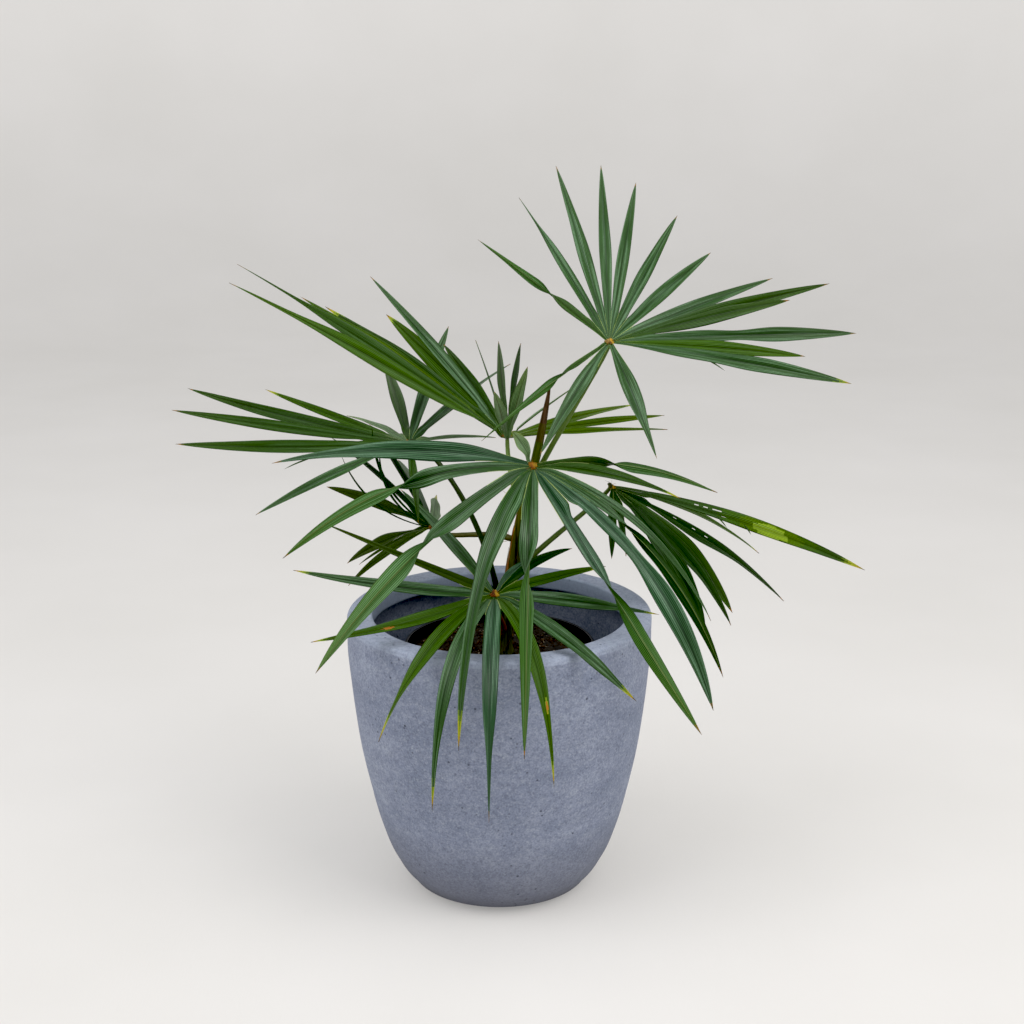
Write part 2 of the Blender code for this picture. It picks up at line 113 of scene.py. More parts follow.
# The fans. Each blade: turn and lift in degrees, reach in centimetres, share of the fan's arch.
FRONDS = {
    "right_high": dict(
        hub=(0.121, -0.020, 0.646), heading=62, climb=24, roll=-15, fused=0.045, arch=0.02,
        blades=((-140, -6, 17.5), (-76, -1, 26.5), (-67, -1, 21.5), (-57, -1, 28), (-44, 2, 22),
                (-36, -3, 30), (-28, -3, 24.5), (-9, -2, 22.5), (4, 4, 24), (17, 7, 27),
                (26, 9, 28.5), (37, 9, 28.5), (48, 5, 26), (65, 1, 23), (155, -16, 18.5),
                (180, -8, 18)),
    ),
    "front": dict(
        hub=(0.037, -0.050, 0.514), heading=-60, climb=-46, roll=0, fused=0.060, arch=0.12,
        blades=((-151, 25, 4.5), (-111, -19, 28.5, 1.2), (-88, -23, 29, 1.2), (-62, -21, 33, 0.5),
                (-32, -11, 33.5, 1.2), (-21, -7, 33.5, 0.5), (13, -3, 34.5, 0), (19, -4, 33, 0.75),
                (26, -4, 31, 0.8), (35, -4, 26, 0.8), (61, 9, 17, 0.7), (81, -12, 27, 0.7)),
    ),
    "front_low": dict(
        hub=(-0.005, -0.060, 0.369), heading=-90, climb=-35, roll=0, fused=0.040, arch=0.20,
        blades=((-141, 7, 17.5, 0.3), (-114, 5, 21.5, 0), (-94, 6, 22.5, -0.3), (-64, 11, 22, -0.3),
                (-30, 5, 23.8, 0.65), (-14, -8, 26.5), (-1, -11, 26.5), (15, -5, 24.5), (42, 9, 22.5, 0.3),
                (73, 11, 19, 0.2), (106, 2, 13, 0.2), (127, -1, 11), (143, -7, 7.5)),
    ),
    "left_low": dict(
        hub=(-0.078, 0.040, 0.417), heading=120, climb=10, roll=0, fused=0.040, arch=0.06,
        blades=((-30, -10, 16), (-17, -4, 24), (-6, 10, 23), (6, 6, 23.5), (20, -3, 17.5),
                (38, -35, 13), (75, -28, 9.5), (93, -27, 12)),
    ),
    "right_low": dict(
        hub=(0.128, 0.030, 0.469), heading=5, climb=-30, roll=-20, fused=0.050, arch=0.05,
        blades=((-73, -21, 9.5), (-55, -24, 8.5), (-27, -17, 19.5), (-15, -15, 21.5),
                (-6, -16, 21.5), (7, -9, 27.5, 0.7), (14, 3, 36, 0.6), (24, -9, 26)),
    ),
    "left": dict(
        hub=(-0.104, 0.050, 0.516), heading=150, climb=5, roll=0, fused=0.050, arch=0.04,
        blades=((-108, -5, 13.5), (-88, 12, 24.5), (-67, 18, 27), (-49, 8, 26), (-33, -6, 19),
                (-22, -9, 19), (-8, 3, 23.5, -0.5), (14, 5, 28, -1), (24, 2, 28, -0.5), (36, -3, 26.5, -1),
                (54, -23, 19.5, 0.6), (132, -35, 11.5)),
    ),
    "top": dict(
        hub=(0.009, 0.035, 0.526), heading=127, climb=0, roll=0, fused=0.050, arch=0.03,
        blades=((-131, 38, 10), (-111, -1, 19.5), (-96, 0, 22), (-79, 0, 23.5), (-42, 22, 20),
                (-34, 18, 23), (-26, 20, 22), (-14, 20, 21.5), (-3, 21, 29), (9, 35, 28),
                (20, 26, 29), (28, 28, 30.5), (36, 30, 30), (44, 31.5, 36.5), (52, 29.5, 35.7),
                (137, 32, 15), (153, 40, 16.5)),
    ),
}

# The stalks: height and compass side of the foot on the trunk, how far and how steeply each swings out there,
# and from how far under the fan's face it comes to the hub, as a share of its length
PETIOLES = {
    "right_high": dict(height=0.470, side=70, swing=0.030, steep=1.3, under=0.08),
    "front": dict(height=0.440, side=-70, swing=0.035, steep=1.3, under=0.30),
    "front_low": dict(height=0.310, side=-100, swing=0.020, steep=1.3, under=0.30),
    "left_low": dict(height=0.414, side=170, swing=0.030, steep=0.2, under=0.16),
    "right_low": dict(height=0.376, side=20, swing=0.040, steep=1.3, under=0.20),
    "left": dict(height=0.325, side=215, swing=0.140, steep=8.0, under=-0.12),
    "top": dict(height=0.458, side=165, swing=0.015, steep=1.3, under=0.30),
}

# The tint of each fan's upper side, and of the blades that differ from it, by their place in the list
FAN_GREEN = {
    "right_high": ("deep", {"green": (2,), "moss": (4, 5, 13, 14)}),
    "front": ("deep", {"grey": (0,), "blue": (1, 6, 7), "moss": (10, 11)}),
    "front_low": ("blue", {"deep": (0, 2, 5, 8, 9), "olive": (1,), "green": (3, 4, 7, 10), "dark": (11,)}),
    "left_low": ("olive", {"grey": (0,), "deep": (1,), "dark": (2, 3)}),
    "right_low": ("dark", {"moss": (4, 6), "green": (7,)}),
    "left": ("moss", {"grey": (0, 4, 5), "deep": (1, 2, 10), "green": (6,)}),
    "top": ("fresh", {"grey": (0, 15, 16), "dark": (4, 6), "moss": (5, 7, 10, 13), "green": (8, 11, 14),
                      "deep": (9,)}),
}
# The tints whose underside isn't plain "under"
UNDERSIDES = {"fresh": "under_fresh", "grey": "under_grey"}

# Each fan's blades: width share, the share of the length where they are widest, how far pale ridges run
SHAPE = {
    "right_high": (0.92, 0.40, 0.038),
    "front": (1.12, 0.26, 0.058),
    "front_low": (0.98, 0.34, 0.036),
    "left_low": (0.95, 0.36, 0.020),
    "right_low": (1.00, 0.34, 0.030),
    "left": (1.00, 0.38, 0.030),
    "top": (1.05, 0.40, 0.030),
}

# How blades differ from the fan's shape. Each blade: width share and roll in degrees. Some: twist (place,
# degrees), widest (place), waist (place, depth), thin (how much narrower the outer part is), under (tint of
# the underside), loose (parts from its neighbours at the hub). Places are shares of the length.
LOOKS = {
    "right_high": dict(
        width=(1.35, 1.25, 1.1, 1.3, 1.15, 1, 0.9, 1, 0.95, 0.85, 0.85, 0.95, 0.75, 0.68, 0.72, 1.1),
        roll=(0, 15, 25, 45, 35, 40, 30, 10, 0, 0, 0, 0, 0, -15, 0, -10),
        twist={1: (0.45, 25), 13: (0.45, 150), 14: (0.40, 165)}, widest={3: 0.62, 13: 0.30, 14: 0.5},
        waist={1: (0.42, 0.3), 3: (0.42, 0.5)}, thin={0: 0.4, 12: 0.6, 13: 0.3, 14: 0.4}, loose=(0, 14, 15),
    ),
    "front": dict(
        width=(1.6, 1.05, 1.15, 1.3, 0.92, 1, 1.15, 1.4, 0.9, 0.5, 0.85, 1),
        roll=(0, -35, 0, 0, 0, 0, 0, 28, 0, 0, 0, 0),
        twist={1: (0.55, 20), 2: (0.47, -165), 3: (0.46, 165), 4: (0.40, 58), 5: (0.38, 165), 6: (0.50, -155),
               8: (0.42, -155), 11: (0.35, 165)},
        widest={0: 0.5, 2: 0.58, 3: 0.60, 5: 0.5, 6: 0.64, 7: 0.66, 8: 0.62, 11: 0.5},
        waist={6: (0.45, 0.35), 7: (0.33, 0.5), 8: (0.42, 0.4)}, thin={1: 0.3, 10: 0.3},
        under={3: "silver", 8: "dark"}, loose=(0,),
    ),
    "front_low": dict(
        width=(0.9, 0.45, 0.95, 1, 1, 0.9, 0.95, 0.9, 1, 1, 1, 1, 1),
        roll=(-20, -20, 0, 0, 0, 0, 0, 0, 0, 15, 0, 0, 0),
        twist={4: (0.7, 50), 8: (0.75, 55)}, thin={5: 0.3, 6: 0.5, 7: 0.4, 9: 0.4},
    ),
    "left_low": dict(
        width=(1.1, 0.8, 0.55, 0.6, 1.1, 1.5, 0.45, 0.8), roll=(40, 0, 0, 0, -30, -45, -40, -30),
        widest={0: 0.2, 1: 0.62, 2: 0.66, 3: 0.64, 4: 0.28, 5: 0.5}, thin={0: 0.6},
    ),
    "right_low": dict(
        width=(0.9, 0.9, 1.6, 1.35, 1.3, 1.2, 1.1, 0.8), roll=(0, 0, 35, 35, 35, 30, 30, 0),
        twist={2: (0.6, 25)}, widest={2: 0.45, 6: 0.5},
    ),
    "left": dict(
        width=(1, 0.9, 0.9, 0.9, 1, 1, 0.62, 0.85, 0.85, 0.95, 0.9, 0.8),
        roll=(0, 0, 0, 0, 0, 0, -45, -55, -50, -55, -25, 0), widest={6: 0.55, 7: 0.55, 8: 0.55, 9: 0.5},
    ),
    "top": dict(
        width=(0.8, 0.7, 0.7, 0.85, 0.8, 0.8, 0.4, 0.85, 1.25, 0.8, 1.1, 1.05, 1.05, 0.9, 1.05, 1, 1),
        roll=(0, 30, 30, 30, -50, -50, 70, -30, -55, -20, -60, -60, -60, -50, -60, 0, 0),
        widest={1: 0.6, 2: 0.65, 3: 0.6}, thin={10: 0.25, 11: 0.35, 12: 0.4, 13: 0.7, 14: 0.5},
        loose=(0, 15, 16),
    ),
}

# Tips: fan, blade, share of its length where yellow starts and where brown starts
TIPS = {
    "right_high": {1: (0.99, 0.994)},
    "front": {4: (0.95, 0.985), 10: (0.93, 0.98)},
    "front_low": {2: (0.97, 0.985), 3: (0.97, 0.985), 4: (0.93, 0.985), 5: (0.96, 0.98), 7: (0.955, 0.98),
                  8: (0.945, 0.98), 9: (0.965, 0.985), 10: (0.91, 0.95)},
    "left_low": {0: (0.82, 0.985)},
    "right_low": {6: (0.95, 0.985), 7: (0.97, 0.985)},
    "left": {6: (0.95, 0.985)},
    "top": {3: (0.97, 0.985), 8: (0.975, 0.985), 10: (0.96, 0.98)},
}
# Rust and yellow marks: fan, blade, colour, centre along and across, half length and half width, as shares
MARKS = (
    ("front_low", 3, "rust", 0.60, 0.25, 0.030, 0.40),
    ("front_low", 7, "lime", 0.71, 0.30, 0.035, 0.35),
    ("front_low", 7, "rust", 0.71, 0.35, 0.020, 0.25),
    ("right_low", 6, "green", 0.60, 0.0, 0.20, 2.2),
    ("right_low", 6, "fresh", 0.60, -0.1, 0.13, 1.5),
    ("right_low", 6, "lime", 0.60, -0.2, 0.07, 0.9),
    ("top", 10, "lime", 0.84, 0.95, 0.10, 0.20),
)

# Holes eaten through a blade: fan, blade, centre along and across, half length and half width, as shares
HOLES = (
    ("right_low", 6, 0.310, 0.415, 0.009, 0.06),
    ("right_low", 6, 0.345, 0.415, 0.009, 0.06),
    ("right_low", 6, 0.385, 0.415, 0.012, 0.06),
    ("right_low", 6, 0.420, -0.27, 0.009, 0.06),
    ("right_low", 5, 0.330, 0.27, 0.010, 0.06),
    ("right_low", 5, 0.430, 0.27, 0.009, 0.06),
    ("right_low", 5, 0.500, 0.27, 0.009, 0.06),
)
# Strips torn from a blade: fan, blade, side and share of the reach where one leaves, its length, degrees off
TEARS = (
    ("right_high", 1, -1, 0.33, 0.042, 15),
    ("front", 1, 1, 0.78, 0.050, 5),
    ("right_low", 6, -1, 0.36, 0.026, 38),
    ("right_low", 6, -1, 0.47, 0.022, 46),
    ("left", 7, -1, 0.55, 0.030, 12),
)
TEAR_HALF_WIDTH = 0.0009
TEAR_DROOP = 0.15
# Narrow leaflets behind the left_low fan: tip from the hub, half width. They bow outward by STRIP_BOW
STRIPS = (
    ((-0.069, 0.020, 0.119), 0.0020), ((-0.060, 0.010, 0.094), 0.0016), ((-0.106, 0.020, 0.083), 0.0013),
)
STRIP_BOW = 0.020
STRIP_FLATNESS = 6

# ---------- helpers


def rgb(*colour):
    """A colour given as 0 to 255 screen values, as the shader wants it."""
    return tuple(((c / 255 + 0.055) / 1.055) ** 2.4 if c > 10.3 else c / 255 / 12.92 for c in colour)


def unit(vector):
    return vector / np.linalg.norm(vector, axis=-1, keepdims=True)


def square_to(vector, line):
    return unit(vector - np.sum(vector * line, axis=-1, keepdims=True) * line)


def smooth(a, b, x):
    t = np.clip((x - a) / (b - a), 0, 1)
    return t * t * (3 - 2 * t)


def settle(values, first, passes):
    """Rounds the corners off a run of values from the place first on, its two ends kept."""
    values = values.copy()
    for _ in range(passes):
        middle = 0.25 * values[first:-2] + 0.5 * values[first + 1:-1] + 0.25 * values[first + 2:]
        values[first + 1:-1] = middle
    return values


def compass(heading):
    return np.array((math.cos(math.radians(heading)), math.sin(math.radians(heading)), 0.0))


def curve_through(corners, t):
    """Points on the Bezier curve of these corners."""
    t = np.atleast_1d(np.asarray(t, float))[:, None]
    corners = [np.array(corner, float)[None] for corner in corners]
    while len(corners) > 1:
        corners = [a + (b - a) * t for a, b in zip(corners, corners[1:])]
    return corners[0]


def ripple(seed, waves):
    """A smooth repeatable random function: a few sines of random slope."""
    rng = np.random.default_rng(seed)
    ways = rng.normal(size=(waves, 3))
    starts = rng.uniform(0, 2 * math.pi, waves)

    def value(points, scale):
        return np.sin(points @ ways.T * scale + starts).sum(axis=-1) / math.sqrt(waves)

    return value


def circle(sides):
    """The angles of a ring's points."""
    return 2 * math.pi * np.arange(sides) / sides


def rings(radii, heights, sides):
    """Level rings of points round the upright axis."""
    angle = circle(sides)
    radii, heights = np.asarray(radii, float)[:, None], np.asarray(heights, float)[:, None]
    return np.stack(np.broadcast_arrays(radii * np.cos(angle), radii * np.sin(angle), heights), -1)


def tube_faces(count, sides):
    """Quads of a tube made of so many rings, one after the other."""
    ring = np.arange(count - 1)[:, None] * sides
    side = np.arange(sides)[None]
    after = (side + 1) % sides
    return np.stack([ring + side, ring + after, ring + sides + after, ring + sides + side], -1).reshape(-1, 4)


def make(name, points, faces, materials, slots=None, across=None):
    """A mesh object. across: one (u, v) for each point."""
    mesh = bpy.data.meshes.new(name)
    mesh.from_pydata(np.asarray(points, float).reshape(-1, 3).tolist(), [], [tuple(face) for face in faces])
    for made_of in materials:
        mesh.materials.append(made_of)
    if slots is not None:
        mesh.polygons.foreach_set("material_index", np.asarray(slots, np.int32))
    mesh.polygons.foreach_set("use_smooth", np.ones(len(mesh.polygons), bool))
    if across is not None:
        corner = np.empty(len(mesh.loops), np.int32)
        mesh.loops.foreach_get("vertex_index", corner)
        layer = mesh.uv_layers.new(name="leaf")
        layer.data.foreach_set("uv", np.asarray(across, float)[corner].ravel())
    mesh.update()
    obj = bpy.data.objects.new(name, mesh)
    bpy.context.scene.collection.objects.link(obj)
    return obj


def build(name, points, faces, materials, slots=None, across=None):
    """A mesh piece on the root body."""
    obj = make(name, points, faces, materials, slots, across)
    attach(obj, "root")
    return obj


class Heap:
    """Several shapes that end up as one mesh."""

    def __init__(self):
        self.points, self.faces, self.slots, self.across, self.count = [], [], [], [], 0

    def add(self, points, faces, slots, across=None):
        points = np.asarray(points, float).reshape(-1, 3)
        self.points.append(points)
        self.faces.append(np.asarray(faces) + self.count)
        self.slots.append(np.broadcast_to(np.asarray(slots), (len(faces),)))
        across = np.zeros((len(points), 2)) if across is None else np.asarray(across).reshape(-1, 2)
        self.across.append(across)
        self.count += len(points)

    def tube(self, centres, radii, sides, slot, squash=1.0, relief=None):
        """A closed limb round these centres. relief(angle, t) scales its radius. slot may be a function."""
        centres = np.asarray(centres, float)
        lines = unit(np.gradient(centres, axis=0))
        across = np.empty_like(centres)
        way = square_to(np.array((0.31, -0.95, 0.07)), lines[0])
        for index, line in enumerate(lines):
            way = square_to(way, line)
            across[index] = way
        other = np.cross(lines, across)
        angle = circle(sides)[None]
        t = np.linspace(0, 1, len(centres))[:, None]
        radius = np.asarray(radii, float)[:, None] * (1 if relief is None else relief(angle, t))
        radius = np.broadcast_to(radius, (len(centres), sides))
        ring = (centres[:, None] + (radius * np.cos(angle))[..., None] * across[:, None]
                + (squash * radius * np.sin(angle))[..., None] * other[:, None])
        uv = np.stack(np.broadcast_arrays(t, angle / (2 * math.pi)), -1)
        slots = np.asarray(slot(*np.broadcast_arrays(t[:-1], angle)).ravel() if callable(slot) else slot)
        first = self.count
        self.add(ring, tube_faces(len(centres), sides), slots, uv)
        for end, flip in ((0, True), (len(centres) - 1, False)):
            rim = first + end * sides + np.arange(sides)
            after, middle = np.roll(rim, -1), np.full(sides, self.count)
            cap = np.stack([after, rim, middle, middle] if flip else [rim, after, middle, middle], -1)
            end_slot = slots if slots.ndim == 0 else slots[0 if flip else -1]
            self.add(centres[end][None], cap - self.count, end_slot)

    def piece(self, name, materials):
        """One piece of it all. A quad whose last two corners are the same is a triangle."""
        quads = np.concatenate(self.faces).tolist()
        faces = [quad if quad[3] != quad[2] else quad[:3] for quad in quads]
        return build(name, np.concatenate(self.points), faces, materials,
                     np.concatenate(self.slots), np.concatenate(self.across))


# ---------- materials


class Shader:
    """A material, with short words for its nodes."""

    def __init__(self, name):
        self.material = bpy.data.materials.new(name)
        self.material.use_nodes = True
        self.tree = self.material.node_tree
        self.main = self.tree.nodes["Principled BSDF"]

    def node(self, kind, inputs=None, **settings):
        made = self.tree.nodes.new("ShaderNode" + kind)
        for key, value in settings.items():
            setattr(made, key, value)
        for key, value in (inputs or {}).items():
            self.feed(made.inputs[key], value)
        return made

    def feed(self, socket, value):
        if isinstance(value, bpy.types.NodeSocket):
            self.tree.links.new(value, socket)
        else:
            socket.default_value = value

    def place(self, scale=(1, 1, 1)):
        where = self.node("TexCoord").outputs["Object"]
        return self.node("Mapping", {"Vector": where, "Scale": scale}).outputs["Vector"]

    def leaf_place(self, scale):
        where = self.node("UVMap", uv_map="leaf").outputs["UV"]
        return self.node("Mapping", {"Vector": where, "Scale": scale}).outputs["Vector"]

    def noise(self, place, scale, detail=4.0, roughness=0.55, distortion=0.0):
        return self.node("TexNoise", {
            "Vector": place, "Scale": scale, "Detail": detail, "Roughness": roughness,
            "Distortion": distortion,
        }).outputs["Fac"]

    def spots(self, place, scale):
        return self.node("TexVoronoi", {"Vector": place, "Scale": scale}).outputs["Distance"]

    def height(self):
        return self.node("SeparateXYZ", {"Vector": self.place()}).outputs["Z"]

    def span(self, value, low, high, at_low=0.0, at_high=1.0):
        """The value's place between low and high, held at the ends."""
        return self.node("MapRange", {
            "Value": value, "From Min": low, "From Max": high, "To Min": at_low, "To Max": at_high,
        }).outputs["Result"]

    def ramp(self, value, *stops):
        """stops: (place, value) or (place, colour)."""
        made = self.node("ValToRGB", {"Fac": value})
        band = made.color_ramp
        while len(band.elements) < len(stops):
            band.elements.new(0.5)
        for element, (place, colour) in zip(band.elements, stops):
            element.position = place
            grey = colour if isinstance(colour, tuple) else (colour,) * 3
            element.color = (*grey, 1.0)
        return made.outputs["Color"]

    def mix(self, factor, a, b):
        made = self.node("Mix", data_type="RGBA")
        for socket, value in ((made.inputs[0], factor), (made.inputs[6], a), (made.inputs[7], b)):
            self.feed(socket, (*value, 1.0) if isinstance(value, tuple) else value)
        return made.outputs[2]

    def over(self, colour, tint, value, *stops):
        """The colour, with the tint over it as far as the ramp of this value says."""
        return self.mix(self.ramp(value, *stops), colour, tint)

    def math(self, operation, a, b=0.0):
        made = self.node("Math", operation=operation)
        self.feed(made.inputs[0], a)
        self.feed(made.inputs[1], b)
        return made.outputs[0]

    def bump(self, height, distance, strength):
        return self.node("Bump", {
            "Height": height, "Distance": distance, "Strength": strength,
        }).outputs["Normal"]

    def finish(self, colour, roughness, normal, **constants):
        self.feed(self.main.inputs["Base Color"], colour)
        self.feed(self.main.inputs["Roughness"], roughness)
        self.feed(self.main.inputs["Normal"], normal)
        for key, value in constants.items():
            self.main.inputs[key.replace("_", " ")].default_value = value
        return self.material


def shade(colour, share):
    return tuple(min(1.0, c * share) for c in colour)


def leaf_material(name, colour, roughness, gloss, painted_sheen):
    """A leaf's surface: fine pale veins along the blade, streaks, cloudy grey patches of painted sheen, a
    yellower tip, painted shade near the hub, and a dark midrib line with painted shade in the fold beside it.
    """
    base = rgb(*colour)
    streak = 0.42 if painted_sheen else 0.15
    pale = rgb(*(1.5 * c + 0.32 * w for c, w in zip(colour, (140, 184, 136))))
    # grey: the pale blue-grey that the patches of painted sheen take
    grey = rgb(*(0.34 * c + 0.66 * w for c, w in zip(colour, (168, 202, 176))))
    warm = rgb(1.20 * colour[0] + 14, 1.10 * colour[1] + 8, 0.60 * colour[2])
    s = Shader(name)
    parts = s.node("SeparateXYZ", {"Vector": s.leaf_place((1, 1, 1))})
    out, beside = parts.outputs["X"], s.math("FRACT", parts.outputs["Y"])
    beside = s.math("ABSOLUTE", s.math("SUBTRACT", beside, 0.5))
    streaks = s.noise(s.leaf_place((1.4, 13, 1)), 1.0, 3.0)
    clouds = s.noise(s.place(), 24.0, 3.0)
    grain = s.noise(s.place(), 620.0, 2.0)
    veins = s.node("TexWave", {
        "Vector": s.leaf_place((0.05, 1, 1)), "Scale": 3.5, "Distortion": 1.1, "Detail": 1.0,
    }, bands_direction="Y").outputs["Fac"]
    mottle = s.math("ADD", s.math("MULTIPLY", streaks, 0.75), s.math("MULTIPLY", clouds, 0.25))
    tint = s.ramp(mottle, (0.38, shade(base, 1 - 1.2 * streak)), (0.62, shade(base, 1 + 1.6 * streak)))
    # Painted shade: darker near the hub, where the blades shade each other
    tint = s.over(tint, shade(base, 0.55), out, (0.0, 0.30), (0.16, 0.0))
    tint = s.over(tint, warm, out, (0.62, 0.0), (1.0, 0.60))
    # Cloudy patches of painted sheen, broken up by the veins and a fine grain
    patches = s.ramp(s.noise(s.leaf_place((2.4, 5.0, 1)), 1.0, 3.0), (0.46, 0.0), (0.61, painted_sheen))
    patches = s.math("MULTIPLY", patches, s.ramp(veins, (0.10, 0.35), (0.75, 1.0)))
    tint = s.mix(s.math("MULTIPLY", patches, s.ramp(grain, (0.32, 0.6), (0.68, 1.0))), tint, grey)
    tint = s.over(tint, pale, veins, (0.50, 0.0), (0.95, 0.48))
    tint = s.over(tint, shade(base, 0.5), veins, (0.05, 0.22), (0.35, 0.0))
    # Dark midrib line, widened by painted shade in the fold beside it
    tint = s.over(tint, shade(base, 0.42), beside, (0.012, 0.62), (0.035, 0.34), (0.15, 0.0))
    tint = s.over(tint, warm, beside, (0.45, 0.0), (0.50, 0.35))
    rough = s.ramp(streaks, (0.3, roughness - 0.05), (0.7, roughness + 0.08))
    height = s.math("ADD", s.math("MULTIPLY", veins, 0.6), s.math("MULTIPLY", streaks, 0.6))
    return s.finish(tint, rough, s.bump(height, 0.0005, 0.45), Specular_IOR_Level=gloss)


def clay_pits(s, place):
    """Where the clay has pinholes: many small ones in patches and a few larger."""
    patches = s.ramp(s.noise(place, 23.0, 2.0), (0.48, 0.0), (0.60, 1.0))
    small = s.math("MULTIPLY", s.ramp(s.spots(place, 95.0), (0.09, 1.0), (0.17, 0.0)), patches)
    return s.math("MAXIMUM", small, s.ramp(s.spots(place, 31.0), (0.035, 1.0), (0.055, 0.0)))


def inner_wall_painted_light(s, place, height):
    """Where the clay is the planter's inner wall, which is painted lighter: painted light standing in for
    light that reaches inside.
    """
    flat = s.node("VectorMath", {0: place, 1: (1.0, 1.0, 0.0)}, operation="MULTIPLY")
    radius = s.node("VectorMath", {0: flat.outputs["Vector"]}, operation="LENGTH").outputs["Value"]
    inner = s.ramp(radius, (MOUTH_RADIUS - 0.001, 0.8), (MOUTH_RADIUS + 0.001, 0.0))
    return s.math("MULTIPLY", inner, s.math("GREATER_THAN", height, 0.5 * PLANTER_HEIGHT))


def clay_material():
    """Blue-grey fibre clay: cloudy and speckled, with dark pinholes and pale wisps; a paler rim band, partly
    rubbed wear and partly painted highlight; painted shade toward the foot; an inner wall painted lighter as
    painted light.
    """
    s = Shader("fibre_clay")
    place, height = s.place(), s.height()
    clouds = s.noise(s.place((1, 1, 1.9)), 10.0, 6.0, 0.68, 0.4)
    grain = s.noise(place, 170.0, 5.0, 0.68)
    speckle = s.noise(place, 460.0, 3.0, 0.6)
    wisps = s.noise(s.place((1, 1, 2.2)), 42.0, 6.0, 0.78)
    colour = s.ramp(clouds, (0.34, rgb(122, 131, 152)), (0.52, rgb(138, 146, 167)),
                    (0.68, rgb(153, 161, 180)))
    colour = s.over(colour, rgb(98, 105, 124), grain, (0.42, 0.0), (0.66, 0.48))
    colour = s.over(colour, rgb(166, 173, 187), wisps, (0.50, 0.0), (0.70, 0.42))
    colour = s.over(colour, rgb(92, 98, 116), speckle, (0.34, 0.50), (0.48, 0.0))
    colour = s.over(colour, rgb(172, 178, 190), speckle, (0.54, 0.0), (0.68, 0.50))
    # Paler band round the rim: partly rubbed wear, partly painted highlight where the rim catches the light
    wear_and_highlight_height = s.math("ADD", height, s.math("MULTIPLY", clouds, 0.006))
    rim = s.ramp(s.span(wear_and_highlight_height, PLANTER_HEIGHT - RIM_BAND, PLANTER_HEIGHT + 0.003),
                 (0.0, 0.0), (0.66, 0.14), (0.74, 0.72), (0.82, 0.52), (0.95, 0.66))
    rim = s.math("MULTIPLY", rim, s.ramp(grain, (0.35, 1.0), (0.65, 0.45)))
    colour = s.mix(rim, colour, rgb(162, 171, 188))
    # Painted shade: darker towards the foot, near the floor
    low = s.span(height, 0.0, 0.11)
    colour = s.over(colour, rgb(98, 99, 108), low, (0.0, 0.95), (0.25, 0.62), (1.0, 0.0))
    pits = clay_pits(s, place)
    colour = s.mix(s.math("MULTIPLY", pits, 0.66), colour, rgb(44, 48, 60))
    # Painted light: the inner wall painted a paler blue, for light that reaches into the planter
    colour = s.mix(inner_wall_painted_light(s, place, height), colour, rgb(178, 194, 218))
    relief = s.math("ADD", s.math("MULTIPLY", grain, 0.5), s.math("MULTIPLY", wisps, 0.35))
    bump = s.bump(s.math("SUBTRACT", relief, pits), 0.0006, 0.6)
    return s.finish(colour, s.ramp(wisps, (0.3, 0.70), (0.7, 0.86)), bump, Specular_IOR_Level=0.35)


def plastic_material():
    s = Shader("black_plastic")
    scuffs = s.noise(s.place((1, 1, 4)), 60.0, 4.0)
    dust = s.noise(s.place(), 14.0, 4.0)
    colour = s.ramp(dust, (0.40, rgb(16, 17, 18)), (0.75, rgb(38, 38, 37)))
    return s.finish(colour, s.ramp(scuffs, (0.3, 0.34), (0.7, 0.52)), s.bump(scuffs, 0.0002, 0.3))


def soil_material(name, dark, light):
    s = Shader(name)
    lumps = s.noise(s.place(), 120.0, 6.0, 0.7)
    colour = s.ramp(lumps, (0.36, rgb(*dark)), (0.72, rgb(*light)))
    return s.finish(colour, s.ramp(lumps, (0.3, 0.86), (0.7, 0.97)), s.bump(lumps, 0.0012, 0.8))


def bark_material(name, dark, light):
    """Young trunk: smooth overlapping leaf bases, streaked along their length."""
    s = Shader(name)
    stripes = s.noise(s.place((230, 230, 7)), 1.0, 4.0, 0.6, 0.3)
    patches = s.noise(s.place((60, 60, 30)), 1.0, 4.0)
    colour = s.ramp(stripes, (0.34, rgb(*dark)), (0.68, rgb(*light)))
    colour = s.over(colour, rgb(84, 60, 22), patches, (0.60, 0.0), (0.74, 0.25))
    rough = s.ramp(patches, (0.3, 0.40), (0.7, 0.62))
    return s.finish(colour, rough, s.bump(stripes, 0.0005, 0.5), Specular_IOR_Level=0.25)


def stalk_material(name, colour, second):
    """A stalk: lengthwise streaks between two greens or browns, and small dark scars."""
    s = Shader(name)
    streaks = s.noise(s.leaf_place((3.0, 9, 1)), 1.0, 4.0, 0.6)
    tint = s.ramp(streaks, (0.36, rgb(*colour)), (0.66, rgb(*second)))
    scars = s.noise(s.place(), 150.0, 3.0)
    tint = s.over(tint, rgb(48, 34, 18), scars, (0.62, 0.0), (0.72, 0.6))
    rough = s.ramp(scars, (0.3, 0.36), (0.7, 0.58))
    return s.finish(tint, rough, s.bump(streaks, 0.0004, 0.5), Specular_IOR_Level=0.22)


def fibre_material(name, dark, light):
    s = Shader(name)
    grain = s.noise(s.place((1, 1, 0.4)), 320.0, 3.0)
    colour = s.ramp(grain, (0.34, rgb(*dark)), (0.70, rgb(*light)))
    return s.finish(colour, 0.8, s.bump(grain, 0.0003, 0.6))


def floor_material():
    """A pale studio floor that glows faintly, more up the wall: painted light that keeps its shadows soft."""
    s = Shader("pale_floor")
    weave = s.noise(s.place((420, 60, 420)), 1.0, 2.0)
    clouds = s.noise(s.place(), 1.6, 3.0)
    colour = s.ramp(clouds, (0.3, rgb(175, 173, 170)), (0.7, rgb(182, 180, 178)))
    s.feed(s.main.inputs["Emission Strength"], s.span(s.height(), *FLOOR_GLOW))
    return s.finish(colour, 0.95, s.bump(weave, 0.0006, 0.12), Specular_IOR_Level=0.1,
                    Emission_Color=(1.0, 0.985, 0.965, 1.0))
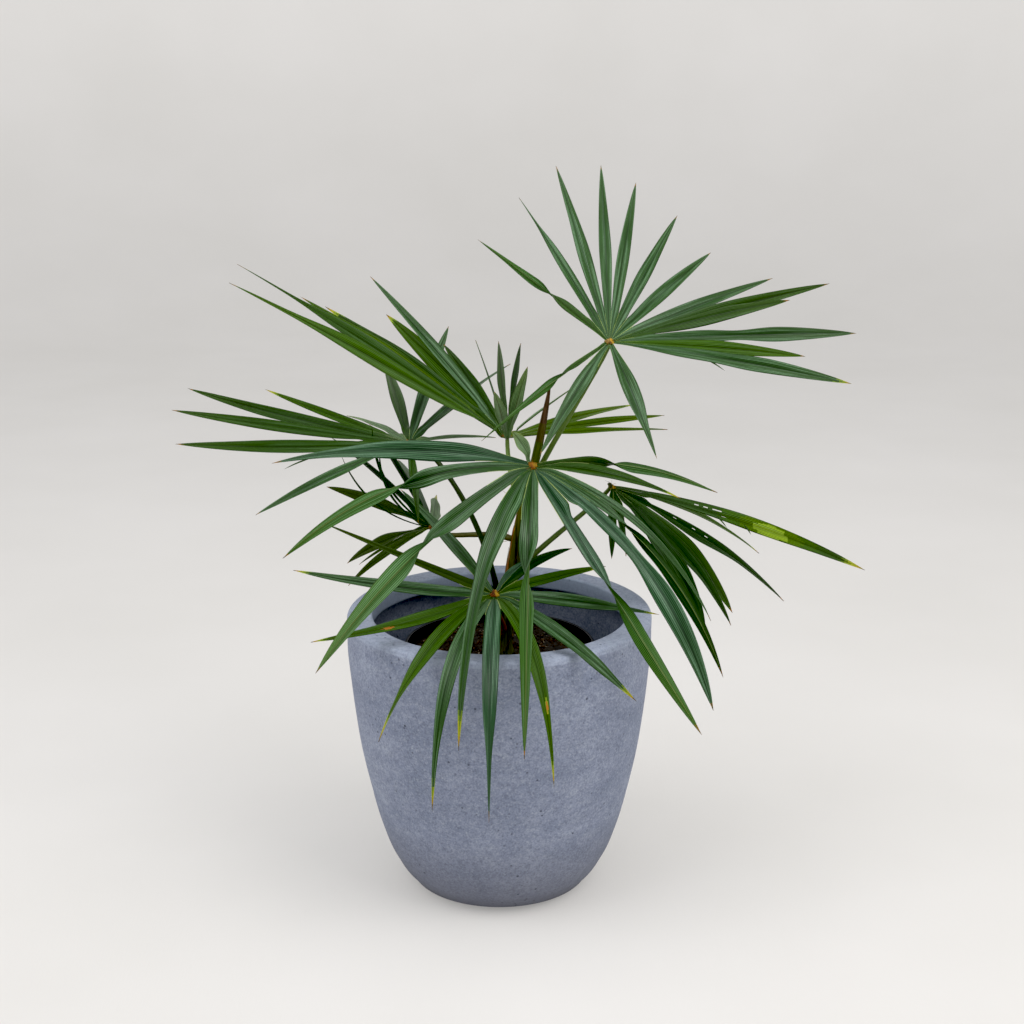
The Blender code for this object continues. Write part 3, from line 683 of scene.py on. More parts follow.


# Each leaf tint: colour, roughness, gloss, painted sheen (how strong its pale patches of painted sheen are)
LEAF_TINTS = {
    "deep": ((22, 46, 11), 0.33, 0.27, 0.78),
    "green": ((36, 58, 4), 0.33, 0.12, 0.20),
    "fresh": ((50, 70, 1), 0.33, 0.12, 0.14),
    "blue": ((22, 48, 26), 0.33, 0.33, 0.85),
    "dark": ((13, 31, 1), 0.33, 0.10, 0.14),
    "olive": ((30, 42, 2), 0.33, 0.12, 0.16),
    "moss": ((26, 46, 4), 0.33, 0.15, 0.26),
    "grey": ((74, 92, 62), 0.52, 0.22, 0.50),
    "rib": ((128, 146, 92), 0.33, 0.15, 0.0),
    "lime": ((96, 116, 22), 0.33, 0.15, 0.45),
    "yellow": ((126, 126, 38), 0.33, 0.15, 0.0),
    "rust": ((136, 82, 32), 0.52, 0.15, 0.0),
    "brown": ((56, 46, 26), 0.52, 0.15, 0.0),
    "under_grey": ((82, 104, 66), 0.52, 0.15, 0.45),
    "silver": ((54, 80, 44), 0.52, 0.15, 0.45),
    "under": ((34, 60, 17), 0.52, 0.15, 0.45),
    "under_fresh": ((52, 77, 10), 0.52, 0.15, 0.45),
    "under_rib": ((88, 106, 62), 0.52, 0.15, 0.0),
}
SLOT = {name: index for index, name in enumerate(LEAF_TINTS)}


# ---------- planter, nursery pot and soil


def swelling(heights):
    """The planter's radius share at these height shares, on a smooth curve through the given ones."""
    x = np.array([h for h, _ in PLANTER_SWELL] + [1.0])
    y = np.array([r for _, r in PLANTER_SWELL] + [1.0])
    slope = np.gradient(y, x)
    slope[-1] = slope[-2] = 0
    at = np.clip(np.searchsorted(x, heights, side="right") - 1, 0, len(x) - 2)
    h = x[at + 1] - x[at]
    t = (heights - x[at]) / h
    return (y[at] * (2 * t**3 - 3 * t**2 + 1) + slope[at] * h * (t**3 - 2 * t**2 + t)
            + y[at + 1] * (-2 * t**3 + 3 * t**2) + slope[at + 1] * h * (t**3 - t**2))


def corner(radius, height, size, start):
    """A rounded corner: a quarter of a circle of that size round a centre."""
    angles = np.radians(start + 90 * np.linspace(0, 1, 6))
    return [(radius + size * math.cos(a), height + size * math.sin(a)) for a in angles]


def revolve(name, profile, sides, made_of, relief=None):
    """A profile of (radius, height) turned round the upright axis."""
    profile = np.array(profile, float)
    points = rings(profile[:, 0], profile[:, 1], sides)
    if relief is not None:
        points = points + relief(points, profile[:, 1:])[..., None] * rings([1.0], [0.0], sides)
    return build(name, points, tube_faces(len(profile), sides), [made_of])


def add_planter():
    top = PLANTER_HEIGHT
    heights = np.concatenate([[0.0, 0.003, 0.009, 0.02], np.linspace(0.038, 1 - RIM_EDGE / top, 96)])
    outside = [(PLANTER_RADIUS * r, top * h) for h, r in zip(heights, swelling(heights))]
    rim = corner(PLANTER_RADIUS - RIM_EDGE, top - RIM_EDGE, RIM_EDGE, 0)
    rim += corner(MOUTH_RADIUS + MOUTH_EDGE, top - MOUTH_EDGE, MOUTH_EDGE, 90)
    rim += corner(MOUTH_RADIUS + LIP_EDGE, top - LIP_DEPTH + LIP_EDGE, LIP_EDGE, 180)
    rim += [(PLANTER_RADIUS - WALL, top - LIP_DEPTH - 0.002)]
    inner = np.linspace(0.86, 0.08, 30)
    inside = [(PLANTER_RADIUS * r - WALL, top * h) for h, r in zip(inner, swelling(inner))]
    ground = [(POT_BASE + 0.012, FLOOR_THICKNESS), (0, FLOOR_THICKNESS)]
    profile = [(0.0, 0.0)] + outside + rim + inside + ground
    wave = ripple(3, 9)

    def relief(points, height):
        body = smooth(0.02, 0.06, height) * 0.00035 * wave(points, 26)
        band = -0.0002 * np.exp(-(((height - (top - RIM_BAND)) / 0.0022) ** 2))
        outer = np.hypot(points[..., 0], points[..., 1]) > MOUTH_RADIUS + LIP_EDGE
        return np.where(outer, body + band - 0.0003, 0.0)

    piece = revolve("planter_body", profile, PLANTER_SIDES, clay_material(), relief)
    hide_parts("planter")


def add_nursery_pot():
    base = FLOOR_THICKNESS + SEAT
    inner = POT_RADIUS - POT_RIM
    profile = [(0, base), (POT_BASE, base), (inner + POT_WALL, POT_TOP - 0.012)]
    profile += [(POT_RADIUS - 0.001, POT_TOP - 0.0115), (POT_RADIUS, POT_TOP - 0.010)]
    profile += corner(POT_RADIUS - 0.002, POT_TOP - 0.002, 0.002, 0)
    profile += corner(inner + 0.0015, POT_TOP - 0.0015, 0.0015, 90)
    profile += [(inner, POT_TOP - 0.0125), (POT_BASE - POT_WALL, base + POT_WALL)]
    profile += [(0, base + POT_WALL)]
    piece = revolve("nursery_pot_shell", profile, 160, plastic_material())
    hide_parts("nursery_pot")


def soil_height(points):
    """The lumpy top of the soil."""
    lumps = ripple(11, 12)(points, 150) * 0.0008 + ripple(12, 12)(points, 420) * 0.0005
    return SOIL_TOP + np.minimum(lumps - 0.0004, SOIL_LUMP)


def add_soil():
    side = POT_RADIUS - POT_RIM - 2 * SEAT
    bottom = FLOOR_THICKNESS + SEAT + POT_WALL + SEAT
    radii = side * np.linspace(1, 0.0, 70) ** 0.8
    flat = rings(radii, 0 * radii, SOIL_SIDES)
    flat[..., 2] = soil_height(flat)
    skirt = rings((0, POT_BASE - POT_WALL - 3 * SEAT, side),
                  (bottom, bottom, POT_TOP - 0.013), SOIL_SIDES)
    points = np.concatenate([skirt, flat])
    piece = build("soil_top", points, tube_faces(len(points), SOIL_SIDES),
                  [soil_material("potting_soil", (18, 16, 13), (56, 48, 40))])
    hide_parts("soil")


def add_crumbs():
    """Bark chips, crumbs and a few pale grains on the soil."""
    rng = np.random.default_rng(5)
    heap = Heap()
    cube = np.array([(x, y, z) for x in (-1, 1) for y in (-1, 1) for z in (-1, 1)], float)
    sides = np.array(((0, 1, 3, 2), (4, 6, 7, 5), (0, 4, 5, 1), (2, 3, 7, 6), (0, 2, 6, 4), (1, 5, 7, 3)))
    reach = POT_RADIUS - POT_RIM - 0.005
    for slot, (count, size, *_) in enumerate(CRUMBS.values()):
        for _ in range(count):
            r, a = reach * math.sqrt(rng.uniform()), rng.uniform(0, 2 * math.pi)
            place = np.array((r * math.cos(a), r * math.sin(a), 0.0))
            if math.hypot(place[0] - TRUNK_PATH[0][0], place[1]) < FLARE_RADIUS + 0.004:
                continue
            place[2] = float(soil_height(place[None])[0]) + 0.2 * size
            spread = size * rng.uniform(0.45, 1.2)
            spread = spread * np.array((1, rng.uniform(0.4, 1), rng.uniform(0.35, 0.7)))
            turn, _ = np.linalg.qr(rng.normal(size=(3, 3)))
            shape = cube * rng.uniform(0.55, 1.0, (8, 3)) * spread
            heap.add(place + shape @ (turn * np.sign(np.linalg.det(turn))), sides, slot)
    materials = [soil_material(name, *colours) for name, (_, _, *colours) in CRUMBS.items()]
    piece = heap.piece("soil_crumbs", materials)


# ---------- trunk, spear and stalks


def trunk_radius(t):
    """The trunk's radius, t of the way up: it tapers above a flared foot."""
    height = t * (TRUNK_PATH[-1][2] - TRUNK_PATH[0][2])
    flare = (FLARE_RADIUS - TRUNK_RADIUS) * np.exp(-height / FLARE_HEIGHT * 1.6)
    return TRUNK_RADIUS + (TRUNK_TOP_RADIUS - TRUNK_RADIUS) * t + flare


def trunk_place(height):
    """How far along the trunk this height is."""
    places = np.linspace(0, 1, 2001)
    return float(np.interp(height, curve_through(TRUNK_PATH, places)[:, 2], places))


def trunk_point(t):
    return curve_through(TRUNK_PATH, t)[0]


def add_trunk():
    """The trunk with its ribbed, clasping leaf bases: each ends in a low slanting step."""
    heap = Heap()
    t = np.linspace(0, 1, 150)
    centres = curve_through(TRUNK_PATH, t)
    edges = sorted((trunk_place(p["height"] + 0.012), math.radians(p["side"])) for p in PETIOLES.values())

    def relief(angle, t):
        ribs = 0.028 * np.sin(17 * angle + 9 * np.sin(3 * t)) + 0.016 * np.sin(31 * angle - 14 * t)
        steps = 0
        for place, side in edges:
            edge = place + 0.03 * np.cos(angle - side)
            steps = steps + 0.075 * smooth(edge + 0.012, edge, t) * smooth(edge - 0.16, edge, t)
        return 0.975 + ribs + steps * (1 - smooth(0.9, 1, t))

    def skin(t, angle):
        turn = np.degrees(angle) % 360
        rust = np.abs(turn - 282 - 12 * np.sin(6 * t)) < 26 - 22 * t
        pale = np.abs(turn - 75 - 10 * np.sin(5 * t)) < 7
        return np.where(rust, 1, np.where(pale, 2, 0))

    heap.tube(centres, trunk_radius(t), 72, skin, relief=relief)
    piece = heap.piece("trunk_bark", [bark_material("bark_olive", (30, 36, 5), (96, 98, 20)),
                                      bark_material("bark_rust", (104, 62, 24), (162, 108, 50)),
                                      bark_material("bark_pale", (86, 92, 34), (128, 130, 62))])
    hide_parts("trunk")


def strand(heap, points, radius, slot):
    """A hair, thinner toward its tip."""
    heap.tube(points, radius * np.linspace(1, 0.35, len(points)), HAIR_SIDES, slot)


def add_fibres():
    """Brown hairs of the leaf bases, wound loosely round the trunk and loose at the stalks."""
    rng = np.random.default_rng(8)
    heap = Heap()
    for _ in range(TRUNK_HAIRS):
        low = rng.uniform(0.0, 0.86)
        high = min(0.98, low + rng.uniform(0.06, 0.22))
        t = np.linspace(low, high, 12)
        angle = rng.uniform(0, 2 * math.pi) + np.linspace(0, rng.normal(0, 0.9), 12)
        out = trunk_radius(t) * 1.03 + 0.0004 + 0.0012 * np.linspace(0, 1, 12) ** 3 * rng.uniform(0, 1)
        ways = np.stack([np.cos(angle), np.sin(angle), 0 * angle], -1)
        points = curve_through(TRUNK_PATH, t) + out[:, None] * ways
        strand(heap, points, rng.uniform(0.00022, 0.00042), rng.integers(0, 2))
    for petiole in PETIOLES.values():
        place = trunk_place(petiole["height"])
        side = compass(petiole["side"])
        for _ in range(COLLAR_HAIRS):
            start = trunk_point(place) + (trunk_radius(place) + 0.0015) * side
            drift = rng.normal(0, 0.006, 3) * (1, 1, 0.5) + side * 0.003
            rise = rng.uniform(-0.012, 0.020)
            points = [start + drift * s**1.5 + UP * rise * s + rng.normal(0, 0.0003, 3)
                      for s in np.linspace(0, 1, 9)]
            strand(heap, points, rng.uniform(0.0002, 0.00035), rng.integers(0, 2))
    piece = heap.piece("trunk_fibres", [fibre_material("brown_fibre", (70, 46, 24), (128, 92, 52)),
                                        fibre_material("tan_fibre", (126, 104, 66), (176, 154, 108))])


def add_spear():
    """The unopened leaf: a pleated dagger, green below and purple-brown above."""
    t = np.linspace(0, 1, 90)
    start = trunk_point(1)
    top = unit(start - trunk_point(0.97))
    start = start + SEAT * top
    tip = np.array(SPEAR_TIP)
    centres = curve_through((start, start + 0.5 * np.linalg.norm(tip - start) * top, tip), t)
    radii = SPEAR_RADIUS * np.interp(t, *zip(*SPEAR_SHAPE))

    def relief(angle, t):
        return 0.93 + 0.10 * np.abs(np.sin(4.5 * angle + 1.1 * t)) - 0.04 * np.cos(9 * angle)

    def skin(t, _):
        return np.where(t < 0.42, 0, np.where(t < 0.60, 1, 2))

    heap = Heap()
    heap.tube(centres, radii, 54, skin, relief=relief)
    piece = heap.piece("spear_folded", [stalk_material("spear_green", (48, 62, 12), (80, 90, 28)),
                                        stalk_material("spear_olive", (58, 54, 18), (84, 76, 34)),
                                        stalk_material("spear_purple", (50, 36, 24), (92, 68, 46))])
    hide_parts("spear")


# The dark and light tint of the hubs, HUB_BROWN for the others, and of the stalks
HUB_BROWN = ((84, 46, 20), (150, 92, 42))
HUBS = {
    "right_high": ((78, 48, 22), (150, 126, 58)),
    "front": ((108, 60, 12), (158, 110, 20)),
    "front_low": ((66, 32, 12), (130, 70, 26)),
    "right_low": ((36, 44, 16), (66, 72, 30)),
}
STALKS = {
    "right_high": ((74, 98, 44), (104, 124, 66)),
    "front": ((78, 84, 38), (112, 104, 52)),
    "front_low": ((98, 66, 36), (138, 94, 50)),
    "left_low": ((66, 74, 34), (102, 96, 52)),
    "right_low": ((62, 84, 40), (96, 112, 60)),
    "left": ((26, 42, 12), (48, 64, 26)),
    "top": ((84, 108, 52), (116, 138, 78)),
}


def add_petiole(name):
    fan, petiole = Fan(name), PETIOLES[name]
    place = trunk_place(petiole["height"])
    foot = trunk_point(place)
    stem = unit(foot - trunk_point(place - 0.02))
    side = square_to(compass(petiole["side"]), stem)
    start = foot + (trunk_radius(place) + 2 * SEAT) * side
    end = fan.hub - (0.5 * HUB_THICKNESS + SEAT) * fan.face
    rise = side + petiole["steep"] * UP
    under = petiole["under"] * np.linalg.norm(end - start)
    corners = (start - 0.0015 * side, start + petiole["swing"] * unit(rise), end - under * fan.face, end)
    t = np.linspace(0, 1, 64)
    radii = PETIOLE_BASE + (PETIOLE_END - PETIOLE_BASE) * t**0.7

    def relief(angle, t):
        edge = 0.06 * np.cos(2 * angle + 0.6) + 0.025 * np.cos(9 * angle)
        return 0.94 + edge + 0.02 * np.sin(60 * t + 2 * angle)

    heap = Heap()
    heap.tube(curve_through(corners, t), radii, 24, 0, relief=relief)
    piece = heap.piece("stalk_" + name, [stalk_material("stalk_" + name, *STALKS[name])])
    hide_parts("petiole_" + name)


# ---------- fan leaves

STATIONS = 64
HALF_ACROSS = (0.085, 0.20, 0.34, 0.49, 0.64, 0.79, 0.93)
ACROSS = np.array([-1.0, *(-s for s in HALF_ACROSS[::-1]), 0.0, *HALF_ACROSS, 1.0])


class Fan:
    """A fan's hub, its middle line, its upper face and its blades."""

    def __init__(self, name):
        frond, looks = FRONDS[name], LOOKS[name]
        heading, climb, roll = (math.radians(frond[key]) for key in ("heading", "climb", "roll"))
        flat = np.array((math.cos(heading), math.sin(heading), 0.0))
        face = math.cos(climb) * UP - math.sin(climb) * flat
        self.along = math.cos(climb) * flat + math.sin(climb) * UP
        self.face = math.cos(roll) * face + math.sin(roll) * np.cross(face, self.along)
        self.left = np.cross(self.face, self.along)
        self.hub = np.array(frond["hub"])
        self.fused, self.arch = frond["fused"], frond["arch"]
        self.blades = [Blade(self, *row) for row in frond["blades"]]
        for index, blade in enumerate(self.blades):
            some = (looks.get(key, {}).get(index) for key in ("twist", "widest", "waist", "thin", "under"))
            loose = index in looks.get("loose", ())
            blade.look(SHAPE[name], looks["width"][index], looks["roll"][index], loose, *some)

    def level(self, turn):
        """The way out from the hub at this turn, in the plane of the fan."""
        turn = math.radians(turn)
        return math.cos(turn) * self.along + math.sin(turn) * self.left


class Blade:
    """One leaflet's middle line, by how far out it is."""

    def __init__(self, fan, turn, lift, reach, bend=1):
        self.fan, self.turn, self.reach = fan, turn, reach / 100
        self.split = min(fan.fused, 0.4 * self.reach)
        lift = math.radians(lift)
        self.chord = self.reach * (math.cos(lift) * fan.level(turn) + math.sin(lift) * fan.face)
        hang = max(0.0, -self.chord[2] / self.reach)
        arch = bend * fan.arch * (0.4 + 1.2 * hang)
        self.rise = 4 * arch * self.reach * square_to(UP, unit(self.chord))

    def look(self, shape, width, roll, loose, twist, widest, waist, thin, under):
        self.full = 0.5 * BLADE_WIDTH * min(1.0, 0.4 + self.reach / 0.40) * (shape[0] * width)
        self.widest, self.pale = widest or shape[1], shape[2]
        self.roll, self.loose, self.twist, self.under = roll, loose, twist, under
        self.waist, self.thin = waist or (0.5, 0.0), thin or 0.0

    def centre(self, radius):
        t = (np.minimum(radius, self.reach) / self.reach)[:, None]
        far = self.fan.hub + t * self.chord + t * (1 - t) * self.rise
        near = self.fan.hub + radius[:, None] * self.fan.level(self.turn)
        share = smooth(0.5 * HUB_RADIUS, 2 * HUB_RADIUS, radius)[:, None]
        return near + (far - near) * share

    def line(self, radius):
        t = (np.minimum(radius, self.reach) / self.reach)[:, None]
        return unit(self.chord + (1 - 2 * t) * self.rise)

    def normal(self, radius):
        return square_to(np.broadcast_to(self.fan.face, (len(radius), 3)), self.line(radius))


def spacing(one, other, radius):
    """How far apart two blades are, in the plane of the fan."""
    apart = one.centre(radius) - other.centre(radius)
    return np.linalg.norm(apart - (apart @ one.fan.face)[:, None] * one.fan.face, axis=1)


def split_between(one, other):
    """How far out two joined blades part."""
    angle = math.acos(np.clip(np.dot(unit(one.chord), unit(other.chord)), -1, 1))
    return max(2 * HUB_RADIUS, min(one.split, other.split, PARTING * BLADE_WIDTH / angle))


def edge_of(blade, other, radius, gap, side):
    """One edge of a blade: the ridge shared with its neighbour as far as the split, then its own."""
    normal, line = blade.normal(radius), blade.line(radius)
    sideways = np.cross(normal, line)
    joined = gap < OPEN_GAP and not blade.loose and not other.loose
    apart = 0.5 * spacing(blade, other, radius)
    split = split_between(blade, other) if joined else HUB_RADIUS
    start = float(np.interp(split, radius, apart)) if joined else LOOSE_START
    u = np.clip((radius - split) / (blade.reach - split), 0, 1)
    swell = smooth(-0.08, blade.widest + 0.06, u)
    half = (start + (blade.full - start) * swell) * (1 - u) ** 0.78 * (1 + 0.6 * u)
    if gap < OPEN_GAP:
        reach = min(other.reach, blade.reach)
        room = 2 * apart * (0.5 - 0.07 * smooth(split, split + 0.02, radius))
        room = room + 0.03 * smooth(0.6 * reach, reach, radius)
        half = np.minimum(half, room)
    place, depth = blade.waist
    waist = 1 - depth * np.exp(-((u - place) / WAIST_REACH) ** 2)
    half = half * (1 - blade.thin * smooth(0.55, 0.78, u)) * waist
    first = int(np.searchsorted(radius, split)) if joined else 0
    half = np.maximum(settle(half, first, SETTLE_PASSES), 0.0002)
    half[-1] = 0.0001
    free = (side * sideways + FOLD * normal) * half[:, None]
    if not joined:
        return free
    both = unit(normal + other.normal(radius))
    centre = blade.centre(radius)
    ridge = 0.5 * (centre + other.centre(radius)) + FOLD * apart[:, None] * both - centre
    share = smooth(split - 0.004, split + 0.010, radius)[:, None]
    return ridge + (free - ridge) * share


def mark_faces(name, index, blade, upper, u, s):
    """Which leaf tint each face of a blade takes, at shares u of its length and s of its half width."""
    plain, others = FAN_GREEN[name]
    base = next((tint for tint, blades in others.items() if index in blades), plain)
    slots = np.full(u.shape, SLOT[blade.under or UNDERSIDES.get(base, "under")])
    slots[upper] = SLOT[base]
    slots[(np.abs(s) < HALF_ACROSS[0]) & ~upper] = SLOT["under_rib"]
    far = blade.pale * (1 + 0.35 * np.sin(7.0 * index + 2.1 * np.sign(s)))
    slots[(np.abs(s) > HALF_ACROSS[-1]) & upper & (u * blade.reach < far)] = SLOT["rib"]
    yellow, brown = TIPS.get(name, {}).get(index, (1.1, 0.992))
    ragged = 0.012 * np.sin(23 * s + 5 * index) + 0.006 * np.sin(51 * s)
    edge_lead = 0.03 * np.abs(s)
    slots[(u + ragged + edge_lead > yellow - 0.025) & (yellow < 1)] = SLOT["lime"]
    slots[u + ragged + edge_lead > yellow] = SLOT["yellow"]
    slots[u + ragged > brown - 0.008] = SLOT["rust"]
    slots[u + 0.5 * ragged > brown] = SLOT["brown"]
    for *marked, tint, along, across, long, wide in MARKS:
        if marked == [name, index]:
            far = ((u - along) / long) ** 2 + ((s - across) / wide) ** 2 + 0.12 * np.sin(37 * u + 11 * s)
            slots[(far < 1) & upper] = SLOT[tint]
    return slots


def holed(name, index, u, s):
    """Which faces of a blade are missing."""
    gone = np.zeros(u.shape, bool)
    for *eaten, along, across, long, wide in HOLES:
        if eaten == [name, index]:
            gone |= (np.abs(u - along) < long) & (np.abs(s - across) < wide)
    return gone


def blade_turn(blade, u, radius, rng):
    """How far a blade is turned about its own line: its twist and its roll, in radians."""
    place, degrees = blade.twist or (TWIST_PLACE, rng.normal(0, TWIST_SPREAD))
    turn = np.radians(degrees) * smooth(place - TWIST_REACH, place + TWIST_REACH, u)
    return turn + math.radians(blade.roll) * smooth(0.5 * blade.split, blade.split + 0.04, radius)


def pleated(out, width, u, normal, rng):
    """A blade's flat cross lines with the pleats across them and the slow waves of its edges."""
    pleat = 0.10 * (1 - (2 * np.abs(ACROSS) - 1) ** 2)
    pleat = pleat + 0.02 * np.cos(ACROSS * 5.0 * math.pi + rng.uniform(-1, 1))
    pleat = pleat + rng.uniform(-0.05, 0.05) * np.sin(math.pi * ACROSS)
    fade = smooth(0.03, 0.2, u) * smooth(1.0, 0.8, u)
    out = out + (fade * width)[:, None, None] * pleat[None, :, None] * normal[:, None]
    wave = 0.05 * width * np.sin(2 * math.pi * (1.5 * u + rng.uniform())) * smooth(0.3, 0.6, u)
    return out + wave[:, None, None] * (ACROSS**2)[None, :, None] * normal[:, None]


def blade_rings(blade, before, after, radius, rng):
    """The points round a blade at each station: across its upper side, and back along its underside."""
    left = edge_of(blade, after, radius, (after.turn - blade.turn) % 360, 1)
    right = edge_of(blade, before, radius, (blade.turn - before.turn) % 360, -1)
    normal, line = blade.normal(radius), blade.line(radius)
    u = radius / blade.reach
    turn = blade_turn(blade, u, radius, rng)
    share = ACROSS[None, :, None]
    out = np.where(share > 0, left[:, None], right[:, None]) * np.abs(share)
    out = pleated(out, np.linalg.norm(left - right, axis=1) / 2, u, normal, rng)
    cos, sin = np.cos(turn)[:, None, None], np.sin(turn)[:, None, None]
    axis = line[:, None]
    out = out * cos + np.cross(axis, out) * sin + axis * np.sum(axis * out, -1, keepdims=True) * (1 - cos)
    middle = blade.centre(radius)[:, None] + out
    rib = RIB_THICKNESS * (1 - 0.8 * u[:, None]) * np.exp(-((ACROSS / 0.09) ** 2))
    thick = LEAF_THICKNESS * (1 - ACROSS**2) + rib
    turned = normal * np.cos(turn)[:, None] + np.cross(line, normal) * np.sin(turn)[:, None]
    lift = 0.5 * thick[..., None] * turned[:, None]
    return np.concatenate([middle + 0.3 * lift, (middle - 1.7 * lift)[:, -2:0:-1]], 1)


def add_blade(heap, name, fan, index, rng):
    blade = fan.blades[index]
    before, after = fan.blades[index - 1], fan.blades[(index + 1) % len(fan.blades)]
    steps = np.linspace(0, 1, STATIONS)
    radius = 0.002 + (blade.reach - 0.002) * (0.75 * steps + 0.25 * smooth(0, 1, steps))
    u = radius / blade.reach
    points = blade_rings(blade, before, after, radius, rng)
    sides = points.shape[1]
    faces = tube_faces(STATIONS, sides)[:, (0, 3, 2, 1)].reshape(STATIONS - 1, sides, 4)
    ring_s = np.concatenate([ACROSS, ACROSS[-2:0:-1]])
    face_u, face_s = 0.5 * (u[:-1] + u[1:]), 0.5 * (ring_s + np.roll(ring_s, -1))
    face_u, face_s = np.meshgrid(face_u, face_s, indexing="ij")
    upper = np.broadcast_to(np.arange(sides) < len(ACROSS) - 1, face_u.shape)
    slots = mark_faces(name, index, blade, upper, face_u, face_s)
    uv = np.stack(np.broadcast_arrays(u[:, None], 0.5 + 0.4999 * ring_s[None] + 10 * index), -1)
    kept = ~holed(name, index, face_u, face_s)
    heap.add(points, faces[kept], slots[kept], uv)


def add_strip(heap, points, half, slot):
    """A narrow flat leaflet on these points, widest past its middle."""
    t = np.linspace(0, 1, len(points))
    radii = half / STRIP_FLATNESS * np.interp(t, (0, 0.2, 0.6, 0.85, 1), (0.45, 0.55, 1.0, 0.62, 0.06))
    heap.tube(points, radii, 8, slot, squash=STRIP_FLATNESS)


def add_strips(heap, name, fan):
    """The torn strips of this fan's blades, and the narrow leaflets behind the left_low fan."""
    t = np.linspace(0, 1, 18)
    for torn, index, side, share, long, off in TEARS:
        if torn == name:
            blade = fan.blades[index]
            radius = np.array((share * blade.reach,))
            line, normal = blade.line(radius)[0], blade.normal(radius)[0]
            off = math.radians(off) * t[:, None] ** 0.5
            way = np.cos(off) * line + side * np.sin(off) * np.cross(normal, line)
            points = blade.centre(radius) + long * t[:, None] * way - TEAR_DROOP * long * t[:, None] ** 2 * UP
            add_strip(heap, points, TEAR_HALF_WIDTH, SLOT["moss"])
    if name == "left_low":
        for tip, half in STRIPS:
            tip = np.array(tip)
            outward = unit(np.array((-abs(tip[2]), 0.0, -abs(tip[0]))))
            points = fan.hub + t[:, None] * tip + (4 * STRIP_BOW * t * (1 - t))[:, None] * outward
            add_strip(heap, points, half, SLOT["dark"])


def add_fan(name, materials):
    fan = Fan(name)
    heap = Heap()
    rng = np.random.default_rng(sum(map(ord, name)))
    for index in range(len(fan.blades)):
        add_blade(heap, name, fan, index, rng)
    add_strips(heap, name, fan)
    piece = heap.piece("fan_" + name, materials)
    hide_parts("frond_" + name)
    add_hub(name, fan, rng)


def add_hub(name, fan, rng):
    """The knot where stalk and blades meet: a lumpy orange-brown cap with short hairs."""
    heap = Heap()
    sides, count = 28, 12
    angle = circle(sides)
    wide = HUB_RADIUS * (0.62 + 0.10 * np.sin(3 * angle + rng.uniform(0, 6)) + 0.06 * np.sin(7 * angle))
    steps = np.linspace(0, 1, count)
    rows = []
    for step in steps:
        out = wide * math.sin(math.pi * step)
        high = 0.0021 * math.cos(math.pi * step) + 0.0004
        bumps = 0.0003 * np.sin(9 * angle + 8 * step)
        rows.append(fan.hub + (out * np.cos(angle))[:, None] * fan.along
                    + (out * np.sin(angle))[:, None] * fan.left
                    + (high + bumps * math.sin(math.pi * step))[:, None] * fan.face)
    quads = tube_faces(count, sides)[:, ::-1]
    toward = np.cos(angle) * fan.along[0] + np.sin(angle) * fan.left[0]
    slots = np.where(steps[:-1, None] < 0.45, np.where(toward > 0.25, 1, 0), 2)
    heap.add(np.array(rows), quads, slots.ravel())
    for _ in range(HUB_HAIRS):
        way = rng.uniform(0, 360)
        long = rng.uniform(0.3, 1.0) * HUB_RADIUS
        start = fan.hub + 0.3 * HUB_RADIUS * rng.uniform(0, 1) * fan.level(way) + 0.0018 * fan.face
        curl = rng.normal(0, 0.0012, 3)
        points = [start + long * q * fan.level(way) + (0.0016 * q - 0.0022 * q**2) * fan.face + curl * q**2
                  for q in np.linspace(0, 1, 6)]
        strand(heap, points, rng.uniform(0.00016, 0.0003), 3 if rng.uniform() < 0.6 else 0)
    piece = heap.piece("hub_" + name, [fibre_material("hub_brown", *HUBS.get(name, HUB_BROWN)),
                                       fibre_material("hub_yellow", (130, 100, 16), (178, 142, 40)),
                                       fibre_material("hub_green", (84, 96, 34), (120, 128, 58)),
                                       fibre_material("hub_hair", (112, 72, 26), (164, 116, 52))])


# ---------- stage

CAMERA = (0.0144, -1.9555, 0.9968)
LOOKS_DOWN = 15.7
LENS = 63.0
SENSOR = 36.0
FLOOR_REACH = 3.6
COVE = 1.6
WALL_TOP = 3.4
# The floor's faint glow: the heights between which it grows, and its strength at them
FLOOR_GLOW = (0.15, 1.0, 0.278, 0.388)
SKY_COLOUR = (0.96, 0.975, 1.0, 1.0)
SKY_STRENGTH = 0.56
BLACK_LEVEL = 0.017
# Each light: place, the point it looks at, width and height, power, colour
LIGHTS = {
    "key": ((1.6, -1.1, 2.5), (0, 0, 0.35), (2.0, 1.8), 44.0, (1.0, 0.985, 0.96)),
    "fill": ((-1.7, -0.9, 2.4), (0, 0, 0.35), (2.0, 1.8), 27.0, (0.98, 0.99, 1.0)),
    "top": ((0.0, -0.3, 3.0), (0, 0, 0.2), (2.6, 2.0), 26.0, (1.0, 0.99, 0.98)),
}


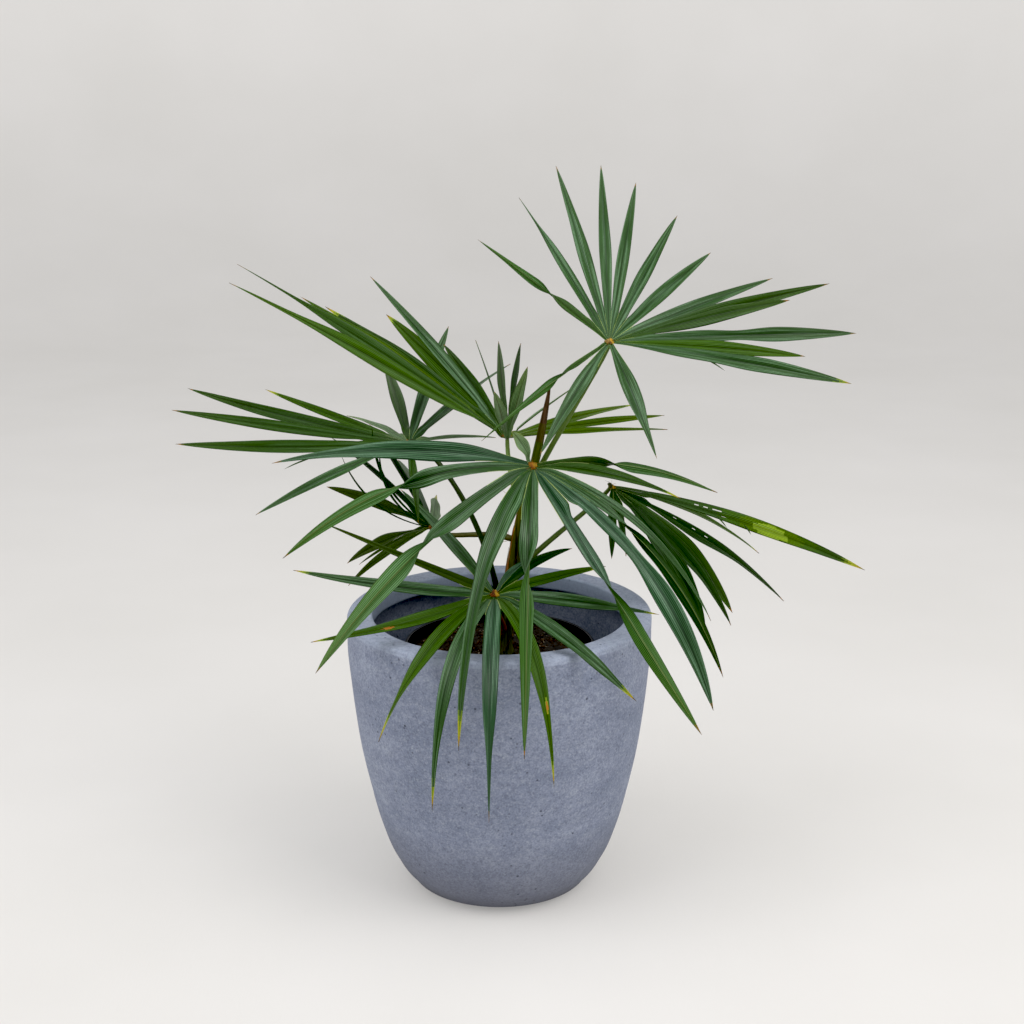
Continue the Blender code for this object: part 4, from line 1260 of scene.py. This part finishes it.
def add_stage():
    """A pale round floor that sweeps up into a pale wall on every side."""
    turns = np.linspace(0, math.pi / 2, 20)
    reach = np.concatenate([[0.01, 1.2, 2.4], FLOOR_REACH + COVE * np.sin(turns), [FLOOR_REACH + COVE]])
    height = np.concatenate([[0.0, 0.0, 0.0], COVE * (1 - np.cos(turns)), [WALL_TOP]])
    sides = 120
    faces = [tuple(range(sides))] + tube_faces(len(reach), sides).tolist()
    floor = make("floor", rings(reach, height, sides), faces, [floor_material()])


def add_light(name, place, aim, size, power, colour):
    data = bpy.data.lights.new(name, "AREA")
    data.shape = "RECTANGLE"
    data.size, data.size_y = size
    data.energy = power
    data.color = colour
    light = bpy.data.objects.new(name, data)
    light.location = place
    x, y, z = np.array(aim) - np.array(place)
    light.rotation_euler = (math.atan2(math.hypot(x, y), -z), 0.0, math.atan2(x, -y) + math.pi)
    bpy.context.scene.collection.objects.link(light)


def add_camera():
    data = bpy.data.cameras.new("camera")
    data.lens, data.sensor_width = LENS, SENSOR
    camera = bpy.data.objects.new("camera", data)
    camera.location = CAMERA
    camera.rotation_euler = (math.radians(90 - LOOKS_DOWN), 0.0, 0.0)
    bpy.context.scene.collection.objects.link(camera)
    bpy.context.scene.camera = camera


def add_world():
    world = bpy.data.worlds.new("studio")
    world.use_nodes = True
    sky = world.node_tree.nodes["Background"]
    sky.inputs["Color"].default_value = SKY_COLOUR
    sky.inputs["Strength"].default_value = SKY_STRENGTH
    bpy.context.scene.world = world
    view = bpy.context.scene.view_settings
    view.view_transform = "Standard"
    view.use_curve_mapping = True
    view.curve_mapping.black_level = (BLACK_LEVEL,) * 3
    view.curve_mapping.update()


def main():
    add_camera()
    add_world()
    add_stage()
    for name, light in LIGHTS.items():
        add_light(name, *light)
    add_planter()
    add_nursery_pot()
    add_soil()
    add_crumbs()
    add_trunk()
    add_fibres()
    add_spear()
    leaves = [leaf_material("leaf_" + name, *looks) for name, looks in LEAF_TINTS.items()]
    for name in FRONDS:
        add_petiole(name)
        add_fan(name, leaves)


main()
